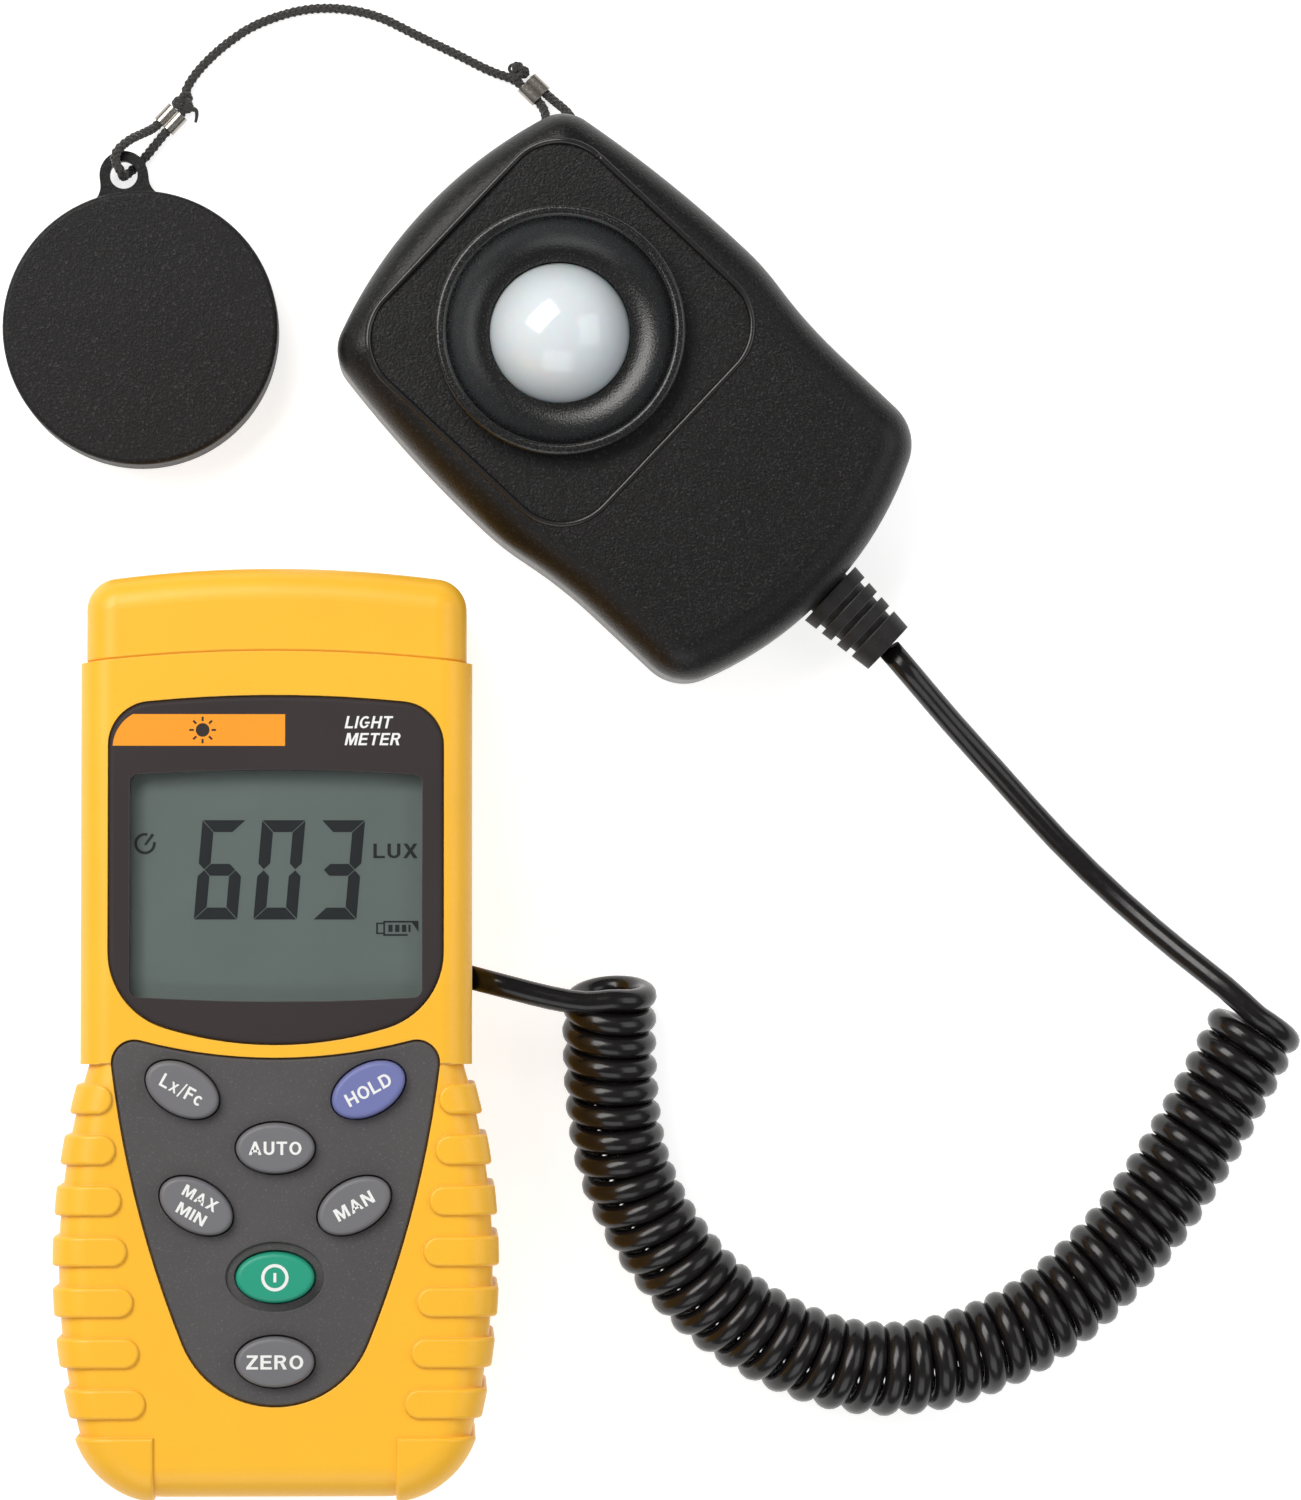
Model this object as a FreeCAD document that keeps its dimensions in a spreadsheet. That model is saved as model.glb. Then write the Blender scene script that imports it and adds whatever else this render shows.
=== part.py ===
import FreeCAD, Part
import math
import os
import re
import Sketcher

# Hand-held light meter with a remote sensor head on a curly lead, and the head's lens cap on a lanyard.
# Frame: millimetres, +X right, +Y to the display end of the handset, +Z up out of its front face.
# Origin: centre of the handset's back face, which rests on z = 0 like the back of the sensor head.

os.makedirs("parts", exist_ok=True)
doc = FreeCAD.newDocument("light_meter")
Vector = FreeCAD.Vector
UP = Vector(0, 0, 1)

DIMENSIONS = {
    # handset shells
    "face_height": 36.5,
    "parting_height": 20.0,
    "wall_size": 2.2,
    "floor_size": 3.2,
    "ceiling_height": 34.0,
    "front_round": 4.5,
    "back_round": 2.5,
    "upper_half_width": 27.3,
    "upper_end_side": 51.6,
    "upper_end_middle": 53.3,
    "waist_line": -4.2,
    "grip_radius": 95.0,
    "grip_centre_offset": 64.8,
    "grip_centre_line": -32.0,
    "grip_corner_line": -55.0,
    "grip_bottom": -64.4,
    "rib_proud": 0.9,
    "rib_rise": 0.65,
    "rib_half_width": 2.1,
    "rib_edge": 0.5,
    "rib_pitch": 7.04,
    "rib_first_line": -9.05,
    "cap_half_width": 26.5,
    "cap_corner_round": 4.5,
    "cap_end": 65.0,
    "cap_end_radius": 173.6,
    "side_recess_deep": 0.4,
    "side_recess_bottom": 2.3,
    "side_recess_end": 38.8,
    "groove_inner": 22.9,
    "groove_outer": 27.2,
    "groove_half_width": 0.15,
    "groove_deep": 0.35,
    # display
    "bezel_ledge": 0.6,
    "bezel_half_width": 23.2,
    "bezel_end": 47.0,
    "bezel_foot": -1.4,
    "bezel_low": 35.0,
    "bezel_top": 36.8,
    "skirt_low": 33.9,
    "window_half_width": 20.3,
    "window_bottom": 4.5,
    "window_top": 36.7,
    "pane_low": 33.9,
    "pane_top": 34.7,
    "pane_proud": 0.3,
    "glass_top": 33.6,
    "glass_size": 2.8,
    "glass_half_width": 21.2,
    "glass_bottom": 2.5,
    "glass_end": 38.5,
    "frame_half_width": 23.0,
    "frame_bottom": 0.8,
    "frame_end": 40.2,
    "frame_gap": 0.1,
    "zebra_half_width": 19.0,
    "zebra_size": 2.2,
    # keypad
    "panel_low": 34.9,
    "panel_top": 36.2,
    "seat_gap": 0.15,
    "ledge_size": 0.5,
    "key_major": 5.45,
    "key_minor": 3.5,
    "key_gap": 0.25,
    "key_top": 38.0,
    "key_round": 0.7,
    "flange_low": 33.2,
    "flange_top": 34.4,
    "flange_proud": 0.4,
    "stem_major": 4.3,
    "stem_minor": 2.5,
    "stem_low": 30.6,
    "pill_radius": 1.8,
    "pill_low": 30.2,
    "dish_major": 6.9,
    "dish_minor": 4.9,
    "dish_deep": 0.45,
    "mat_low": 29.0,
    "mat_top": 31.2,
    # boards, battery, fasteners
    "board_low": 27.4,
    "board_top": 29.0,
    "board_half_width": 22.5,
    "board_bottom": -46.0,
    "board_end": 41.5,
    "board_tongue_half_width": 14.0,
    "board_tongue_end": 50.6,
    "battery_long": 48.5,
    "battery_wide": 26.5,
    "battery_thick": 17.5,
    "battery_low": 2.25,
    "battery_bottom": -59.5,
    "battery_stud_size": 2.8,
    "snap_half_width": 12.5,
    "snap_size": 3.2,
    "snap_inset": 2.5,
    "well_half_width": 14.0,
    "well_bottom": -60.0,
    "well_end": -4.6,
    "well_top": 20.1,
    "well_wall": 1.2,
    "door_half_width": 15.5,
    "door_end": -3.0,
    "door_size": 2.0,
    "door_gap": 0.15,
    "tongue_size": 0.7,
    "tongue_low": 0.9,
    "tongue_proud": 1.0,
    "door_grip_half_width": 6.0,
    "door_grip_size": 1.1,
    "door_grip_deep": 0.5,
    "wire_slot_half_width": 2.5,
    "wire_slot_low": 15.0,
    "post_radius": 3.2,
    "screw_radius": 1.35,
    "screw_gap": 0.04,
    "screw_head_radius": 2.5,
    "screw_sink": 3.0,
    "screw_head_size": 2.0,
    "screw_long": 24.0,
    "rear_post_radius": 3.7,
    "board_screw_radius": 0.9,
    "board_screw_head_size": 1.4,
    "board_screw_head_radius": 1.8,
    "board_screw_long": 6.0,
    "slot_half_width": 0.3,
    "slot_half_long": 1.1,
    "slot_part": 0.6,
    "board_post_radius": 2.2,
    "battery_wire_radius": 0.5,
    # curly lead
    "lead_radius": 1.65,
    "coil_radius": 6.75,
    "outlet_line": 7.9,
    "outlet_height": 14.0,
    "outlet_side": 26.9,
    "grommet_radius": 2.65,
    "grommet_flange_radius": 4.0,
    "grommet_flange_size": 1.4,
    "core_radius": 0.45,
    # sensor head, in its own frame: dome axis at the origin, +Y away from the lead
    "head_x": 39.78,
    "head_y": 99.65,
    "head_angle": 46.8,
    "head_parting": 8.5,
    "head_top": 18.8,
    "head_wall": 2.0,
    "head_front_round": 5.5,
    "head_back_round": 2.0,
    "head_boss_radius": 2.6,
    "head_pilot_radius": 1.04,
    "head_sleeve_radius": 3.1,
    "head_hole_radius": 1.15,
    "head_sink_radius": 2.15,
    "head_sink_size": 3.0,
    "head_roof": 2.4,
    "head_screw_low": 1.4,
    "head_screw_head_size": 1.6,
    "head_screw_head_radius": 1.9,
    "head_screw_radius": 1.0,
    "head_screw_long": 11.0,
    "foot_boss_radius": 2.4,
    "sensor_board_top": 10.1,
    "diode_radius": 4.5,
    "diode_top": 11.3,
    "filter_radius": 7.5,
    "filter_top": 12.9,
    "recess_half_width": 21.8,
    "recess_size": 0.6,
    "recess_corner": 8.0,
    "collar_radius": 17.85,
    "collar_neck": 16.3,
    "collar_low": 14.8,
    "collar_top": 22.0,
    "dish_rim": 16.2,
    "dish_radius": 10.15,
    "dish_middle_radius": 14.4,
    "dish_middle_height": 18.4,
    "collar_rim": 0.6,
    "dish_low": 17.0,
    "dome_base_radius": 10.0,
    "dome_radius": 10.14,
    "dome_bore": 8.4,
    "dome_flange_radius": 11.6,
    "dome_flange_size": 1.3,
    "dome_top": 25.0,
    "dome_skin": 1.3,
    "relief_end": 65.0,
    "relief_big": 5.3,
    "relief_small": 4.15,
    "relief_neck": 3.6,
    "relief_start": 53.55,
    "relief_flange_radius": 4.9,
    "relief_flange_back": 48.7,
    "relief_flange_front": 50.8,
    "relief_groove_size": 1.0,
    "relief_groove_deep": 0.9,
    "post_x": 22.6,
    "post_y": 20.6,
    "lanyard_post": 0.7,
    "lanyard_post_height": 3.4,
    "lanyard_boss_radius": 5.4,
    "lanyard_boss_top": 6.6,
    "lanyard_pocket_radius": 3.3,
    "lanyard_pocket_half_height": 1.6,
    "lanyard_mouth_side": 3.1,
    # lens cap and lanyard
    "lens_cap_x": -20.33,
    "lens_cap_y": 101.08,
    "lens_cap_radius": 19.75,
    "lens_cap_bore": 18.2,
    "lens_cap_height": 8.5,
    "lens_cap_top": 1.4,
    "lens_cap_round": 0.7,
    "eye_x": -22.98,
    "eye_y": 123.61,
    "eye_radius": 2.0,
    "eye_tab_radius": 3.5,
    "eye_tab_shoulder": 3.0,
    "eye_tab_root": 17.6,
    "eye_tab_low": 2.0,
    "eye_tab_size": 1.6,
    "lanyard_radius": 0.725,
    "ferrule_long": 3.0,
    "ferrule_skin": 0.35,
    "ferrule_height": 1.1,
}

sheet = doc.addObject("Spreadsheet::Sheet", "Dims")
for row, (alias, size) in enumerate(DIMENSIONS.items(), 1):
    sheet.set(f"A{row}", alias)
    sheet.set(f"B{row}", str(size))
    sheet.setAlias(f"B{row}", alias)
doc.recompute()

subparts = []


# ---------------------------------------------------------------- small helpers

def cells(text):
    """Write the sheet's name before each alias in an expression."""
    return re.sub(r"[a-z][a-z_]+", lambda word: "Dims." + word.group(), str(text))


def size_of(text):
    """Value of an expression in the sheet's aliases."""
    return float(sheet.evalExpression(cells(text)))


def bind(item, **links):
    """Drive the properties of an object from the sheet."""
    for name, text in links.items():
        item.setExpression(name.replace("__", "."), cells(text))
    return item


def keep(item, name):
    """Name an object as one of the sub-parts to be written."""
    item.Label = name
    subparts.append(item)
    return item


def new_body(name):
    return doc.addObject("PartDesign::Body", name)


def new_sketch(body, name, height="0", role="XY_Plane"):
    """A sketch on an origin plane of its body, lifted to a height held in the sheet."""
    sketch = body.newObject("Sketcher::SketchObject", name)
    plane = next(item for item in body.Origin.OriginFeatures if item.Role == role)
    sketch.AttachmentSupport = [(plane, "")]
    sketch.MapMode = "FlatFace"
    bind(sketch, AttachmentOffset__Base__z=height)
    return sketch


def pad(body, sketch, length, name):
    feature = body.newObject("PartDesign::Pad", name)
    feature.Profile = sketch
    bind(feature, Length=length)
    return feature


def soften(body, name, radius, chosen, kind="PartDesign::Fillet"):
    """Fillet or chamfer the edges of the body's tip that the test picks."""
    doc.recompute()
    base = body.Tip
    edges = [f"Edge{index}" for index, edge in enumerate(base.Shape.Edges, 1) if chosen(edge)]
    if not edges:
        raise RuntimeError(name + " finds no edge")
    feature = body.newObject(kind, name)
    feature.Base = (base, edges)
    bind(feature, **{"Size" if kind.endswith("Chamfer") else "Radius": radius})
    doc.recompute()
    return feature


def at_height(edge, text):
    height = size_of(text)
    box = edge.BoundBox
    return abs(box.ZMin - height) < 1e-4 and abs(box.ZMax - height) < 1e-4


def line(x0, y0, x1, y1):
    return Part.LineSegment(Vector(x0, y0, 0), Vector(x1, y1, 0))


def bow(x, y, radius, start, stop):
    """Arc about a centre, anticlockwise between two angles in degrees."""
    circle = Part.Circle(Vector(x, y, 0), UP, radius)
    return Part.ArcOfCircle(circle, math.radians(start), math.radians(stop))


def mirrored(curve):
    """The same curve on the other side of the Y axis."""
    if isinstance(curve, Part.LineSegment):
        a, b = curve.StartPoint, curve.EndPoint
        return line(-b.x, b.y, -a.x, a.y)
    start, stop = math.degrees(curve.FirstParameter), math.degrees(curve.LastParameter)
    return bow(-curve.Center.x, curve.Center.y, curve.Radius, 180 - stop, 180 - start)


def both_sides(curves):
    return curves + [mirrored(curve) for curve in curves]


def add_curves(sketch, curves):
    for curve in curves:
        sketch.addGeometry(curve, False)


def add_circle(sketch, x, y, radius):
    """A circle whose centre and radius are driven from the sheet."""
    circle = Part.Circle(Vector(size_of(x), size_of(y), 0), UP, size_of(radius))
    index = sketch.addGeometry(circle, False)
    for kind, text in (("DistanceX", x), ("DistanceY", y)):
        place = sketch.addConstraint(Sketcher.Constraint(kind, -1, 1, index, 3, size_of(text)))
        sketch.setExpression(f"Constraints[{place}]", cells(text))
    place = sketch.addConstraint(Sketcher.Constraint("Radius", index, size_of(radius)))
    sketch.setExpression(f"Constraints[{place}]", cells(radius))


def block(name, left, right, bottom, top, low, high):
    """A box between six planes held in the sheet."""
    item = doc.addObject("Part::Box", name)
    bind(item, Length=f"({right}) - ({left})", Width=f"({top}) - ({bottom})")
    bind(item, Height=f"({high}) - ({low})")
    bind(item, Placement__Base__x=left, Placement__Base__y=bottom, Placement__Base__z=low)
    return item


def rod(name, x, y, low, high, radius):
    """An upright cylinder."""
    item = doc.addObject("Part::Cylinder", name)
    bind(item, Radius=radius, Height=f"({high}) - ({low})")
    bind(item, Placement__Base__x=x, Placement__Base__y=y, Placement__Base__z=low)
    return item


def fuse(name, items):
    item = doc.addObject("Part::MultiFuse", name)
    item.Shapes = items
    return item


def cut(name, base, tool):
    item = doc.addObject("Part::Cut", name)
    item.Base = base
    item.Tool = tool
    return item


def common(name, base, tool):
    item = doc.addObject("Part::MultiCommon", name)
    item.Shapes = [base, tool]
    return item


def bare(name, shape):
    """A plain feature for a shape that neither bodies nor primitives give."""
    item = doc.addObject("Part::Feature", name)
    item.Shape = shape
    return item


def half_profile(points):
    """Closed loop of straight lines through points."""
    ends = points[1:] + points[:1]
    return [line(a[0], a[1], b[0], b[1]) for a, b in zip(points, ends)]


def revolved(name, curves):
    """A body turned about the Z axis from curves drawn as (radius, height)."""
    body = new_body(name)
    sketch = new_sketch(body, name + "_section", role="XZ_Plane")
    add_curves(sketch, curves)
    turn = body.newObject("PartDesign::Revolution", name + "_turn")
    turn.Profile = sketch
    turn.ReferenceAxis = (sketch, ["V_Axis"])
    turn.Angle = 360
    return body


# ---------------------------------------------------------------- outlines

def end_corner(corner_x, corner_radius, apex, end_radius):
    """Height of a corner arc's centre and the angle where it meets the long end arc."""
    centre = apex - end_radius
    rise = math.sqrt((end_radius - corner_radius) ** 2 - corner_x ** 2)
    return centre + rise, math.degrees(math.atan2(rise, corner_x))


def upper_outline(inset=0.0, bottom=None):
    """Display part of the handset: straight sides, a bowed top end."""
    half = size_of("upper_half_width") - inset
    side, middle = size_of("upper_end_side"), size_of("upper_end_middle")
    full = size_of("upper_half_width")
    radius = (full ** 2 + (middle - side) ** 2) / (2 * (middle - side))
    centre = middle - radius
    reach = radius - inset
    corner = math.degrees(math.acos(half / reach))
    bottom = size_of("waist_line") if bottom is None else bottom
    shoulder = centre + reach * math.sin(math.radians(corner))
    right = [bow(0, centre, reach, corner, 90),
             line(half, shoulder, half, bottom),
             line(half, bottom, 0, bottom)]
    return both_sides(right)


def grip_outline(inset=0.0, top=None):
    """Lower part of the handset: bulged sides that turn into round bottom corners."""
    x, y, radius = -size_of("grip_centre_offset"), size_of("grip_centre_line"), size_of("grip_radius")
    corner_angle = math.asin((size_of("grip_corner_line") - y) / radius)
    meet_x, meet_y = x + radius * math.cos(corner_angle), size_of("grip_corner_line")
    corner = (meet_y - size_of("grip_bottom")) / (1 + math.sin(corner_angle))
    corner_x = meet_x - corner * math.cos(corner_angle)
    corner_y = meet_y - corner * math.sin(corner_angle)
    top = size_of("waist_line") if top is None else top
    reach = radius - inset
    top_angle = math.asin((top - y) / reach)
    top_x = x + reach * math.cos(top_angle)
    low_angle = math.degrees(corner_angle)
    bottom = corner_y - corner + inset
    right = [line(0, top, top_x, top),
             bow(x, y, reach, low_angle, math.degrees(top_angle)),
             bow(corner_x, corner_y, corner - inset, -90, low_angle),
             line(corner_x, bottom, 0, bottom)]
    return both_sides(right), (corner_x, corner_y, corner)


def grip_side(y, proud):
    """Half-width of the grip at a line, on the curve that stands proud of it."""
    reach = size_of("grip_radius") + proud
    return -size_of("grip_centre_offset") + math.sqrt(reach ** 2 - (y - size_of("grip_centre_line")) ** 2)


def rib_outlines():
    """Seven round-ended bars on each side of the grip, and a pad over each bottom corner."""
    loops = []
    proud, half = size_of("rib_proud"), size_of("rib_half_width")
    x, y = -size_of("grip_centre_offset"), size_of("grip_centre_line")
    reach = size_of("grip_radius") + proud
    inner_ends = (22.6, 22.1, 21.3, 20.5, 19.6, 18.8, 17.9)
    for place, inner in enumerate(inner_ends):
        middle = size_of("rib_first_line") - place * size_of("rib_pitch")
        low, high = middle - half, middle + half
        low_angle = math.degrees(math.asin((low - y) / reach))
        high_angle = math.degrees(math.asin((high - y) / reach))
        loops.append([bow(inner + half, middle, half, 90, 270),
                      line(inner + half, low, grip_side(low, proud), low),
                      bow(x, y, reach, low_angle, high_angle),
                      line(grip_side(high, proud), high, inner + half, high)])
    corner_x, corner_y, corner = grip_outline()[1]
    pad_top, pad_side = -55.9, 16.8
    out = corner + proud
    top_angle = math.asin((pad_top - corner_y) / out)
    low_angle = math.acos((pad_side - corner_x) / out)
    pad_bottom = corner_y - out * math.sin(low_angle)
    top_x = corner_x + out * math.cos(top_angle)
    loops.append([line(pad_side, pad_top, top_x, pad_top),
                  bow(corner_x, corner_y, out, -math.degrees(low_angle), math.degrees(top_angle)),
                  line(pad_side, pad_bottom, pad_side, pad_top)])
    return [curve for loop in loops for curve in both_sides(loop)]


def cap_outline(inset=0.0, lower=None):
    """End cap: the bowed joint below, round corners and a bowed end above."""
    half, apex = size_of("cap_half_width"), size_of("cap_end")
    radius, end = size_of("cap_corner_round"), size_of("cap_end_radius")
    corner_y, corner_angle = end_corner(half - radius, radius, apex, end)
    full, side, middle = size_of("upper_half_width"), size_of("upper_end_side"), size_of("upper_end_middle")
    joint = (full ** 2 + (middle - side) ** 2) / (2 * (middle - side))
    joint_centre = middle - joint
    edge = half - inset
    if lower is None:
        joint_angle = math.degrees(math.acos(edge / joint))
        joint_y = joint_centre + joint * math.sin(math.radians(joint_angle))
        base = [bow(0, joint_centre, joint, joint_angle, 90)]
    else:
        joint_y = lower
        base = [line(0, lower, edge, lower)]
    right = base + [line(edge, joint_y, edge, corner_y),
                    bow(half - radius, corner_y, radius - inset, 0, corner_angle),
                    bow(0, apex - end, end - inset, corner_angle, 90)]
    return both_sides(right)


def bezel_outline(inset=0.0):
    """Display frame: bowed ends, and lower corners that are cut back more than the upper ones."""
    half, end, foot = size_of("bezel_half_width"), size_of("bezel_end"), size_of("bezel_foot")
    top_corner, low_corner = 6.0, 11.0
    top_radius, low_radius = 180.0, 52.0
    top_y, top_angle = end_corner(half - top_corner, top_corner, end, top_radius)
    low_y, low_angle = end_corner(half - low_corner, low_corner, -foot, low_radius)
    right = [bow(0, end - top_radius, top_radius - inset, top_angle, 90),
             bow(half - top_corner, top_y, top_corner - inset, 0, top_angle),
             line(half - inset, top_y, half - inset, -low_y),
             bow(half - low_corner, -low_y, low_corner - inset, -low_angle, 0),
             bow(0, foot + low_radius, low_radius - inset, -90, -low_angle)]
    return both_sides(right)


def window_outline(inset=0.0):
    """Display opening, a rectangle with slightly bowed ends."""
    half = size_of("window_half_width") - inset
    bottom, top = size_of("window_bottom") + inset, size_of("window_top") - inset
    corner, sagitta = 1.2, 0.7
    radius = (half ** 2 + sagitta ** 2) / (2 * sagitta)
    corner_y, angle = end_corner(half - corner, corner, 0.0, radius)
    right = [bow(0, top - radius, radius, angle, 90),
             bow(half - corner, top + corner_y, corner, 0, angle),
             line(half, top + corner_y, half, bottom - corner_y),
             bow(half - corner, bottom - corner_y, corner, -angle, 0),
             bow(0, bottom + radius, radius, -90, -angle)]
    return both_sides(right)


def keypad_outline(inset=0.0):
    """Keypad panel: hollow top edge, round top corners, bowed sides that close in on a round bottom."""
    top_radius, side_radius = 74.0, 150.0
    corner_x, corner_y, corner = 19.6, -4.0, 3.1
    low_y, low_radius = -37.8, 13.8
    top_centre = corner_y + math.sqrt((top_radius + corner) ** 2 - corner_x ** 2)
    meet = math.degrees(math.atan2(top_centre - corner_y, -corner_x))
    apart = math.hypot(corner_x, corner_y - low_y)
    lean = math.atan2(corner_y - low_y, corner_x)
    far, near = side_radius - corner, side_radius - low_radius
    swing = lean + math.acos((near ** 2 + apart ** 2 - far ** 2) / (2 * near * apart))
    side_x, side_y = near * math.cos(swing), low_y + near * math.sin(swing)
    upper = math.degrees(math.atan2(corner_y - side_y, corner_x - side_x))
    lower = math.degrees(math.atan2(low_y - side_y, -side_x))
    right = [bow(0, top_centre, top_radius + inset, -90, meet - 180),
             bow(corner_x, corner_y, corner - inset, upper, meet),
             bow(side_x, side_y, side_radius - inset, lower, upper),
             bow(0, low_y, low_radius - inset, -90, lower)]
    return both_sides(right)


def head_outline(inset=0.0):
    """Sensor head: wide shoulders, a slight waist and round corners, widest below the dome."""
    side_radius, widest, widest_line = 190.0, 27.3, -11.0
    shoulder_angle = 8.9
    top_corner, top_apex = 5.7, 26.4
    lean = math.radians(shoulder_angle)
    shoulder = (widest - side_radius + side_radius * math.cos(lean),
                widest_line + side_radius * math.sin(lean))
    top_centre = (shoulder[0] - top_corner * math.cos(lean),
                  shoulder[1] - top_corner * math.sin(lean))
    drop = top_apex - top_centre[1]
    top_radius = (top_centre[0] ** 2 + drop ** 2 - top_corner ** 2) / (2 * (drop - top_corner))
    top_angle = math.degrees(math.atan2(top_centre[1] - top_apex + top_radius, top_centre[0]))
    waist, waist_line = 25.5, -31.0
    swing = 2 * math.atan((widest - waist) / (widest_line - waist_line))
    convex = 40.0
    concave = (widest_line - waist_line) / math.sin(swing) - convex
    low_corner, low_corner_y, low_apex = 7.2, -42.2, -53.3
    low_x = waist - low_corner
    rise = low_corner_y - low_apex
    low_radius = (low_x ** 2 + rise ** 2 - low_corner ** 2) / (2 * (rise - low_corner))
    low_angle = math.degrees(math.atan2(low_apex + low_radius - low_corner_y, low_x))
    swing_angle = math.degrees(swing)
    right = [bow(0, top_apex - top_radius, top_radius - inset, top_angle, 90),
             bow(top_centre[0], top_centre[1], top_corner - inset, shoulder_angle, top_angle),
             bow(widest - side_radius, widest_line, side_radius - inset, 0, shoulder_angle),
             bow(widest - convex, widest_line, convex - inset, -swing_angle, 0),
             bow(waist + concave, waist_line, concave + inset, 180 - swing_angle, 180),
             line(waist - inset, waist_line, waist - inset, low_corner_y),
             bow(low_x, low_corner_y, low_corner - inset, -low_angle, 0),
             bow(0, low_apex + low_radius, low_radius - inset, -90, -low_angle)]
    return both_sides(right)


# ---------------------------------------------------------------- handset shells

KEYS = {
    "key_lux_fc": (-12.9, -7.7, -28.5),
    "key_hold": (12.9, -7.7, 28.5),
    "key_auto": (0.0, -15.8, 0.0),
    "key_max_min": (-10.95, -23.8, -29.5),
    "key_man": (10.95, -23.8, 29.5),
    "key_power": (0.0, -33.7, 0.0),
    "key_zero": (0.0, -45.4, 0.0),
}
CASE_SCREWS = ((-20.5, 45.8), (20.5, 45.8), (-21.0, -52.0), (21.0, -52.0))
BOARD_SCREWS = ((-9.0, 48.6), (9.0, 48.6), (-20.0, -30.0), (20.0, -30.0))
# left, right, bottom and top of each chip, and how far it hangs below the board
CHIPS = ((-6, 6, 8, 20, 1.8), (-18, -12, -10, -4, 1.6), (8, 16, -14, -8, 1.6), (-4, 2, -30, -25.5, 1.5),
         (14, 20, 2, 10, 4.5), (-16, -11, 26, 33, 2.2))
# side offset and radius of the battery's two studs
TERMINALS = ((-6.35, 2.9), (6.35, 3.6))


def key_curve(name, major, minor):
    """Ellipse of a key at its place and slant on the keypad."""
    x, y, angle = KEYS[name]
    turn = math.radians(angle)
    centre = Vector(x, y, 0)
    along = centre + Vector(math.cos(turn), math.sin(turn), 0) * major
    across = centre + Vector(-math.sin(turn), math.cos(turn), 0) * minor
    return Part.Ellipse(along, across, centre)


def prism(name, curves, low, high):
    """Plain pad of one outline between two heights."""
    body = new_body(name)
    body.AllowCompound = True
    sketch = new_sketch(body, name + "_plan", low)
    add_curves(sketch, curves)
    pad(body, sketch, f"{high} - ({low})", name + "_pad")
    return body


def shell_block(name, low, high, rounding, round_height):
    """Solid outside of one handset shell in two blocks, each with its outer edge rounded."""
    upper = prism(name + "_upper", upper_outline(), low, high)
    side = size_of("upper_half_width")
    soften(upper, name + "_upper_round", rounding,
           lambda edge: at_height(edge, round_height) and abs(abs(edge.CenterOfMass.x) - side) < 1e-3)
    grip = prism(name + "_grip", grip_outline()[0], low, high)
    waist = size_of("waist_line")
    soften(grip, name + "_grip_round", rounding,
           lambda edge: at_height(edge, round_height) and edge.CenterOfMass.y < waist - 1)
    return [upper, grip]


def rib_block(name, low, high, rounding, round_height):
    """The bars and corner pads of the grip, as solids that pass through the shell's wall."""
    body = new_body(name)
    body.AllowCompound = True
    plan = new_sketch(body, name + "_plan", low)
    add_curves(plan, rib_outlines())
    pad(body, plan, f"{high} - ({low})", name + "_pad")
    soften(body, name + "_outer_round", rounding,
           lambda edge: at_height(edge, round_height) and isinstance(edge.Curve, Part.Circle)
           and edge.Curve.Radius > 10)
    base, end = size_of(low), size_of(round_height)
    if base > end:
        base, end = end, base

    def sharp(edge):
        box = edge.BoundBox
        upright = box.ZLength > 1e-3 and box.XLength < 1e-3 and box.YLength < 1e-3
        if at_height(edge, round_height):
            return isinstance(edge.Curve, Part.Line) or edge.Curve.Radius < 3
        if upright:
            return abs(edge.CenterOfMass.x) > 26
        flat = box.XLength < 1e-3 or box.YLength < 1e-3
        return flat and box.ZLength > 1e-3

    soften(body, name + "_edge_round", "rib_edge", sharp)
    return body


def shell_cavity(name, low, high, posts):
    """Space inside a shell, with an island at each screw post and a core in its hole."""
    body = new_body(name)
    body.AllowCompound = True
    wall = size_of("wall_size")
    upper = new_sketch(body, name + "_upper", low)
    add_curves(upper, upper_outline(wall, -8.0))
    for place, radius, hole in posts:
        if place[1] > 0:
            add_circle(upper, place[0], place[1], radius)
            add_circle(upper, place[0], place[1], hole)
    pad(body, upper, f"{high} - ({low})", name + "_upper_pad")
    lower = new_sketch(body, name + "_lower", low)
    add_curves(lower, grip_outline(wall, -7.0)[0])
    for place, radius, hole in posts:
        if place[1] < 0:
            add_circle(lower, place[0], place[1], radius)
            add_circle(lower, place[0], place[1], hole)
    pad(body, lower, f"{high} - ({low})", name + "_lower_pad")
    return body


def side_recess(name, low, high):
    """Shallow hollow in the right-hand side wall, above the lead's outlet."""
    return block(name, "upper_half_width - side_recess_deep", "upper_half_width + 2", "side_recess_bottom",
                 "side_recess_end", low, high)


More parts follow.
